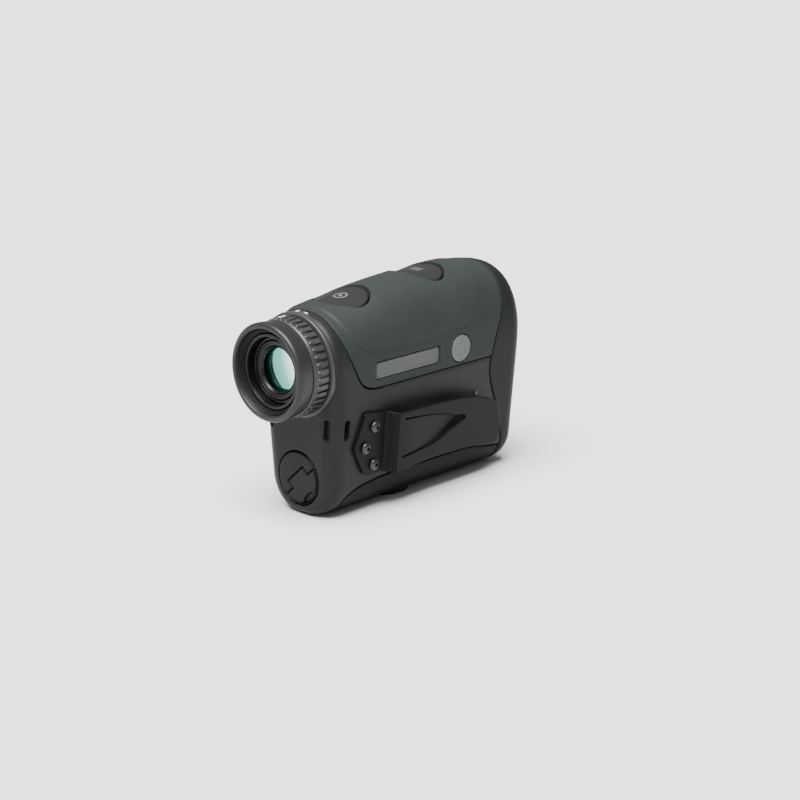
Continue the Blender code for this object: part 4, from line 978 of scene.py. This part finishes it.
def make_clip():
    outline = path(CLIP_BASE, smooth_line(CLIP_BOTTOM, 12), smooth_line(CLIP_NOSE, 12), smooth_line(CLIP_TOP, 12),
                   step=0.6)
    slit = np.concatenate([LANCE_OUTER, LANCE_INNER[::-1]])
    bend = np.array([(y, v) for y in np.arange(-19.2, -15.2, 0.3) for v in np.arange(-12, 14, 0.8)])
    return sheet("belt_clip", clip_face, [outline, slit], edge=0.28, depth=SHEET, spacing=1.1, extra=[bend],
                 back=True)


def side_matrix(place_yv):
    """Stands a piece made on the Z axis on the body's drafted side."""
    from mathutils import Matrix
    base = SIDE_BASE + np.array([0, place_yv[0], 0]) + SIDE_UP * place_yv[1]
    columns = (SIDE_UP, np.array([0, 1, 0]), SIDE_OUT)
    matrix = Matrix.Identity(4)
    for i, column in enumerate(columns):
        for j in range(3):
            matrix[j][i] = column[j]
    for j in range(3):
        matrix[j][3] = base[j] * MM
    return matrix


def make_screw(index, place_yv):
    seat, head, socket = 1.5, 1.4, 0.72
    top = seat + head
    dome = [(2.15 * math.cos(a), top - 1.1 + 1.1 * math.sin(a)) for a in np.radians(np.linspace(0, 66, 9))]
    profile = [(0.0, -3.0), (1.2, -3.0), (1.2, seat), (2.15, seat), *dome, (socket + 0.12, top - 0.02),
               (socket, top - 0.12), (socket, top - 0.8), (0.0, top - 0.95)]

    def shape(turn, radius, height):
        sector = (turn + math.pi / 6) % (math.pi / 3) - math.pi / 6
        hexagon = radius * math.cos(math.pi / 6) / np.cos(sector)
        return np.where(np.abs(radius - socket) < 0.13, hexagon, radius)

    screw = revolve(f"clip_button_screw_{index}", profile, (0, 0), "Z", steps=72, shape=shape)
    screw.data.transform(side_matrix(place_yv))
    return screw


# ---------------------------------------------------------------- materials

def linear(grey):
    """An sRGB triple out of 255 as linear colour."""
    share = np.array(grey, float) / 255
    return [float(v) for v in np.where(share <= 0.04045, share / 12.92, ((share + 0.055) / 1.055) ** 2.4)]


class Nodes:
    """A small helper that adds nodes to a material and links them."""

    def __init__(self, name):
        self.material = bpy.data.materials.new(name)
        self.material.use_nodes = True
        self.tree = self.material.node_tree
        self.shader = self.tree.nodes["Principled BSDF"]

    def add(self, kind, **inputs):
        node = self.tree.nodes.new(kind)
        for key, value in inputs.items():
            if hasattr(value, "is_output"):
                self.tree.links.new(value, node.inputs[key.replace("_", " ")])
            else:
                node.inputs[key.replace("_", " ")].default_value = value
        return node

    def noise(self, scale, detail=3.0, distortion=0.0):
        place = self.add("ShaderNodeTexCoord").outputs["Object"]
        node = self.add("ShaderNodeTexNoise", Vector=place, Scale=scale, Detail=detail, Distortion=distortion)
        return node.outputs["Fac"]

    def ramp(self, value, low, high, start=0.0, end=1.0):
        node = self.tree.nodes.new("ShaderNodeValToRGB")
        self.tree.links.new(value, node.inputs["Fac"])
        node.color_ramp.elements[0].position = start
        node.color_ramp.elements[1].position = end
        node.color_ramp.elements[0].color = (*low, 1)
        node.color_ramp.elements[1].color = (*high, 1)
        return node.outputs["Color"]

    def spread(self, value, low, high):
        node = self.add("ShaderNodeMapRange", Value=value)
        node.inputs["To Min"].default_value = low
        node.inputs["To Max"].default_value = high
        return node.outputs["Result"]

    def link(self, output, name):
        self.tree.links.new(output, self.shader.inputs[name])

    def bump(self, height, strength, size):
        node = self.add("ShaderNodeBump", Strength=strength, Distance=size, Height=height)
        self.link(node.outputs["Normal"], "Normal")
        return node


def finish(name, colour, rough, metallic=0.0, variation=0.12, spread=0.05, grain=900.0, cloud=60.0, bump=0.15,
           size=0.00004, coat=0.0, level=0.5):
    """A finish with cloudy colour, uneven gloss and a fine grain. Scales are in waves a metre."""
    nodes = Nodes(name)
    base = np.array(linear(colour))
    cloudy = nodes.noise(cloud, 4.0)
    fine = nodes.noise(grain, 2.0)
    nodes.link(nodes.ramp(cloudy, base * (1 - variation), base * (1 + variation), 0.3, 0.7), "Base Color")
    nodes.link(nodes.spread(cloudy, rough - spread, rough + spread), "Roughness")
    nodes.shader.inputs["Metallic"].default_value = metallic
    nodes.shader.inputs["Specular IOR Level"].default_value = level
    if coat:
        nodes.shader.inputs["Coat Weight"].default_value = coat
        nodes.shader.inputs["Coat Roughness"].default_value = 0.25
    nodes.bump(fine, bump, size)
    return nodes.material


def textured_rubber(name, colour, rough, cell, strength, depth):
    """Moulded rubber with a fine leathery grain."""
    nodes = Nodes(name)
    base = np.array(linear(colour))
    place_node = nodes.add("ShaderNodeTexCoord").outputs["Object"]
    cells = nodes.add("ShaderNodeTexVoronoi", Vector=place_node, Scale=cell)
    cells.feature = "SMOOTH_F1"
    cloudy = nodes.noise(45.0, 5.0)
    nodes.link(nodes.ramp(cloudy, base * 0.9, base * 1.1, 0.3, 0.7), "Base Color")
    nodes.link(nodes.spread(cloudy, rough - 0.05, rough + 0.05), "Roughness")
    nodes.bump(cells.outputs["Distance"], strength, depth)
    nodes.shader.inputs["Specular IOR Level"].default_value = 0.1
    return nodes.material


def hatched_plate(name, colour):
    """Satin label metal with fine slanted hatching."""
    nodes = Nodes(name)
    base = np.array(linear(colour))
    place_node = nodes.add("ShaderNodeTexCoord").outputs["Object"]
    turned = nodes.add("ShaderNodeMapping", Vector=place_node, Rotation=(0.7, 0.0, 0.0))
    waves = nodes.add("ShaderNodeTexWave", Vector=turned.outputs["Vector"], Scale=190.0, Distortion=0.4)
    waves.bands_direction = "Y"
    nodes.link(nodes.ramp(waves.outputs["Fac"], base * 0.82, base * 1.15, 0.35, 0.65), "Base Color")
    nodes.link(nodes.spread(nodes.noise(80.0), 0.36, 0.48), "Roughness")
    nodes.bump(waves.outputs["Fac"], 0.25, 0.00004)
    return nodes.material


def coated_glass(name, colour, tint):
    """A lens with an antireflection coat whose base colour is painted by the viewing angle: colour face on, then tint,
    then a darkened tint towards grazing.
    """
    nodes = Nodes(name)
    facing = nodes.add("ShaderNodeLayerWeight", Blend=0.45).outputs["Facing"]
    shade = nodes.ramp(facing, linear(colour), np.array(linear(tint)) * 0.1, 0.19, 0.44)
    middle = shade.node.color_ramp.elements.new(0.29)
    middle.color = (*linear(tint), 1)
    nodes.link(shade, "Base Color")
    nodes.shader.inputs["Metallic"].default_value = 0.85
    nodes.link(nodes.spread(nodes.noise(120.0), 0.03, 0.06), "Roughness")
    nodes.shader.inputs["Coat Weight"].default_value = 1.0
    nodes.shader.inputs["Coat Roughness"].default_value = 0.02
    return nodes.material


def circuit_board(name):
    nodes = Nodes(name)
    place_node = nodes.add("ShaderNodeTexCoord").outputs["Object"]
    tracks = nodes.add("ShaderNodeTexBrick", Vector=place_node, Scale=420.0)
    nodes.link(nodes.ramp(tracks.outputs["Fac"], linear((16, 62, 40)), linear((34, 96, 62))), "Base Color")
    nodes.link(nodes.spread(nodes.noise(300.0), 0.35, 0.5), "Roughness")
    nodes.bump(tracks.outputs["Fac"], 0.2, 0.00005)
    return nodes.material


MATERIALS = {
    "body": finish("body_polymer", (21, 22, 22), 0.46, variation=0.06, grain=2600.0, bump=0.18, level=0.13),
    "bezel": finish("bezel_polymer", (20, 21, 22), 0.46, variation=0.06, grain=2600.0, bump=0.18, level=0.08),
    "collar": finish("collar_satin", (42, 43, 44), 0.36, metallic=0.1, variation=0.05, grain=2200.0, level=0.3),
    "armor": textured_rubber("armor_rubber", (32, 36, 34), 0.56, 2400.0, 0.12, 0.00005),
    "pad": textured_rubber("pad_rubber", (12, 13, 13), 0.60, 2000.0, 0.15, 0.00006),
    "cup": finish("eyecup_rubber", (25, 25, 26), 0.42, variation=0.08, grain=1800.0, bump=0.12, level=0.25),
    "dial": finish("dial_rubber", (36, 37, 37), 0.40, variation=0.08, grain=1500.0, bump=0.15, level=0.35),
    "button": finish("button_rubber", (24, 25, 25), 0.45, variation=0.07, grain=1700.0, bump=0.15, level=0.2),
    # Near-black rubber for the real seals, also laid inside the eyecup as painted shade.
    "seal": finish("seal_rubber", (5, 5, 6), 0.6, variation=0.10, grain=1500.0, level=0.15),
    "clip": finish("clip_black_oxide", (9, 10, 10), 0.44, metallic=0.0, variation=0.08, grain=3000.0, bump=0.2,
                   level=0.08),
    "screw": finish("screw_black_zinc", (50, 51, 53), 0.28, metallic=0.7, variation=0.10, grain=2500.0),
    "black": finish("black_anodised", (9, 9, 10), 0.32, metallic=0.05, variation=0.10, grain=2500.0, level=0.2),
    "steel": finish("bright_steel", (168, 170, 172), 0.26, metallic=1.0, variation=0.06, grain=2500.0),
    "brass": finish("socket_brass", (176, 142, 84), 0.28, metallic=1.0, variation=0.08, grain=2500.0),
    "cap": finish("cap_polymer", (17, 18, 18), 0.44, variation=0.07, grain=2400.0, bump=0.2, level=0.12),
    "plate": hatched_plate("plate_hatched", (30, 34, 32)),
    "badge": finish("badge_satin", (72, 77, 74), 0.34, metallic=0.2, variation=0.06, grain=2400.0, level=0.3),
    # On the eye lens the near-white face-on colour is a painted reflection over the teal coat, and the lens is painted
    # darker towards grazing.
    "lens": coated_glass("lens_teal_coat_painted_reflection", (236, 250, 247), (66, 158, 142)),
    "front_lens": coated_glass("lens_violet_coat", (40, 32, 96), (70, 52, 130)),
    "glass": finish("prism_glass", (150, 160, 160), 0.06, variation=0.03, grain=300.0, bump=0.01),
    "board": circuit_board("board_mask"),
    "cell": finish("cell_sleeve", (150, 152, 156), 0.35, metallic=0.3, variation=0.08, grain=400.0),
    "white": finish("dial_marking", (226, 226, 220), 0.5, variation=0.03, grain=1500.0),
    "grey": finish("key_marking", (92, 94, 93), 0.5, variation=0.03, grain=1500.0),
}


def put(obj, body, material, slot, *nodes):
    """Gives a piece its finish, its body and the solids that it stands for."""
    obj.data.materials.clear()
    obj.data.materials.append(MATERIALS[material])
    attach(obj, body)
    if nodes:
        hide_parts(*nodes)
    return obj


def carry_over():
    """Finishes for the solids that are shown as they are."""
    groups = {
        "black": ("objective_barrel", "laser_barrel", "prism_cage", "display"),
        "glass": ("prism", "field_lens"),
        "board": ("main_board", "button_board", "laser_transceiver"),
        "steel": ("shield_can", "measure_switch", "menu_switch", "tab_pin", "cap_contact"),
        "screw": ("clip_stop_pin",),
        "brass": ("battery_contact",),
        "cell": ("battery",),
        "seal": ("cap_seal", "ocular_seal"),
        "body": ("battery_tube",),
    }
    for material, names in groups.items():
        for name in names:
            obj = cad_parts[name]
            obj.data.materials.clear()
            obj.data.materials.append(MATERIALS[material])


def build():
    put(make_housing(), "casing", "body", "casing", "main_housing")
    put(make_collar(), "casing", "collar", "casing")
    put(make_boss(), "casing", "body", "casing")
    put(make_insert(), "casing", "brass", "brass", "tripod_insert")
    put(make_top_armor(), "casing", "armor", "armor", "top_armor")
    put(make_bezel(), "casing", "bezel", "casing", "front_bezel")
    put(make_pad(), "casing", "pad", "armor", "bottom_armor")
    put(make_plate(), "casing", "plate", "label", "nameplate")
    put(make_badge(), "casing", "badge", "label", "badge")
    put(make_button("measure_key_cap", MEASURE_BUTTON), "measure_key", "button", "button", "measure_button")
    put(make_button("menu_key_cap", MENU_BUTTON), "menu_key", "button", "button", "menu_button")
    put(make_diopter(), "diopter", "dial", "seal_rubber", "diopter_ring")
    for mark in make_dial_marks():
        put(mark, "casing", "white", "label")
    put(make_dial_index(), "diopter", "white", "label")
    for body, mark in make_key_marks():
        put(mark, body, "grey", "label")
    put(make_eyecup(), "eyecup", "cup", "eyecup_rubber", "eyecup")
    # The eyecup's inside takes the near-black seal finish as painted shade.
    put(make_eyecup_shade_sheet(), "eyecup", "seal", "eyecup_rubber")
    put(make_carrier(), "eyecup_slider", "black", "black_metal", "eyecup_carrier")
    put(make_ocular_tube(), "casing", "black", "black_metal", "ocular_housing")
    put(make_ocular_ring(), "casing", "black", "black_metal", "ocular_retainer")
    put(lens("eye_lens", 10.2, -48.7, -45.7, 1.2, 0.6, EYE_Z), "casing", "lens", "coated_lens", "ocular_lens")
    put(make_clip(), "casing", "clip", "clip_metal", "utility_clip")
    for index, place_yv in enumerate(SCREWS, 1):
        put(make_screw(index, place_yv), "casing", "screw", "screw_metal", f"clip_screw_{index}")
    put(make_cap(), "cap", "cap", "casing", "battery_cap")
    put(make_tab(), "tab", "cap", "casing", "battery_tab")
    front_optics()
    carry_over()


def front_optics():
    for name, inner, outer, centre_z, node in (("objective_lock_ring", 12.5, 14.3, EYE_Z, "objective_retainer"),
                                               ("laser_lock_ring", 6.6, 8.2, LASER_Z, "laser_retainer")):
        low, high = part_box(node)
        rear, front = low.y / MM, high.y / MM
        profile = [(outer, rear), (outer, front - 0.2), (outer - 0.2, front), (inner + 0.5, front),
                   (inner, front - 0.5), (inner, rear)]
        put(revolve(name, profile, (0, centre_z), steps=128), "casing", "black", "black_metal", node)
    for name, node, centre_z in (("front_objective", "objective_lens", EYE_Z), ("front_laser", "laser_lens", LASER_Z)):
        low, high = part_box(node)
        radius = (high.x - low.x) / 2 / MM
        bulge = 1.2 if name == "front_objective" else 0.7
        rear, front = low.y / MM + 0.5, high.y / MM - bulge
        put(lens(name, radius, rear, front, 0.5, bulge, centre_z), "casing", "front_lens", "coated_lens", node)


# ---------------------------------------------------------------- studio

def make_camera():
    azimuth, elevation = math.radians(43.03), math.radians(15.97)
    target = Vector((0.00483, 0.00445, 0.03312))
    back = Vector((math.sin(azimuth) * math.cos(elevation), -math.cos(azimuth) * math.cos(elevation),
                   math.sin(elevation)))
    data = bpy.data.cameras.new("camera")
    data.lens = 81.48
    camera = bpy.data.objects.new("camera", data)
    camera.location = target + back * 0.6562
    camera.rotation_euler = back.to_track_quat("Z", "Y").to_euler()
    bpy.context.scene.collection.objects.link(camera)
    bpy.context.scene.camera = camera


def sun_light(name, towards, spread, strength):
    """A broad soft light from a direction."""
    data = bpy.data.lights.new(name, "SUN")
    data.energy = strength
    data.angle = math.radians(spread)
    light = bpy.data.objects.new(name, data)
    light.rotation_euler = Vector(towards).to_track_quat("Z", "Y").to_euler()
    bpy.context.scene.collection.objects.link(light)


def make_studio():
    floor = mesh_of("floor", [(-6000, -6000, 0), (6000, -6000, 0), (6000, 6000, 0), (-6000, 6000, 0)], [(0, 1, 2, 3)])
    paper = Nodes("paper")
    paper.link(paper.ramp(paper.noise(8.0), (0.5, 0.5, 0.5), (0.52, 0.52, 0.52)), "Base Color")
    paper.shader.inputs["Roughness"].default_value = 0.9
    floor.data.materials.append(paper.material)
    world = bpy.data.worlds.new("studio")
    world.use_nodes = True
    world.node_tree.nodes["Background"].inputs["Color"].default_value = (1, 1, 1, 1)
    world.node_tree.nodes["Background"].inputs["Strength"].default_value = 0.36
    bpy.context.scene.world = world
    sun_light("overhead", (0.12, -0.36, 1.0), 46, 17.2)
    sun_light("fill", (0.6, -0.75, 0.6), 20, 0.35)


build()
make_camera()
make_studio()
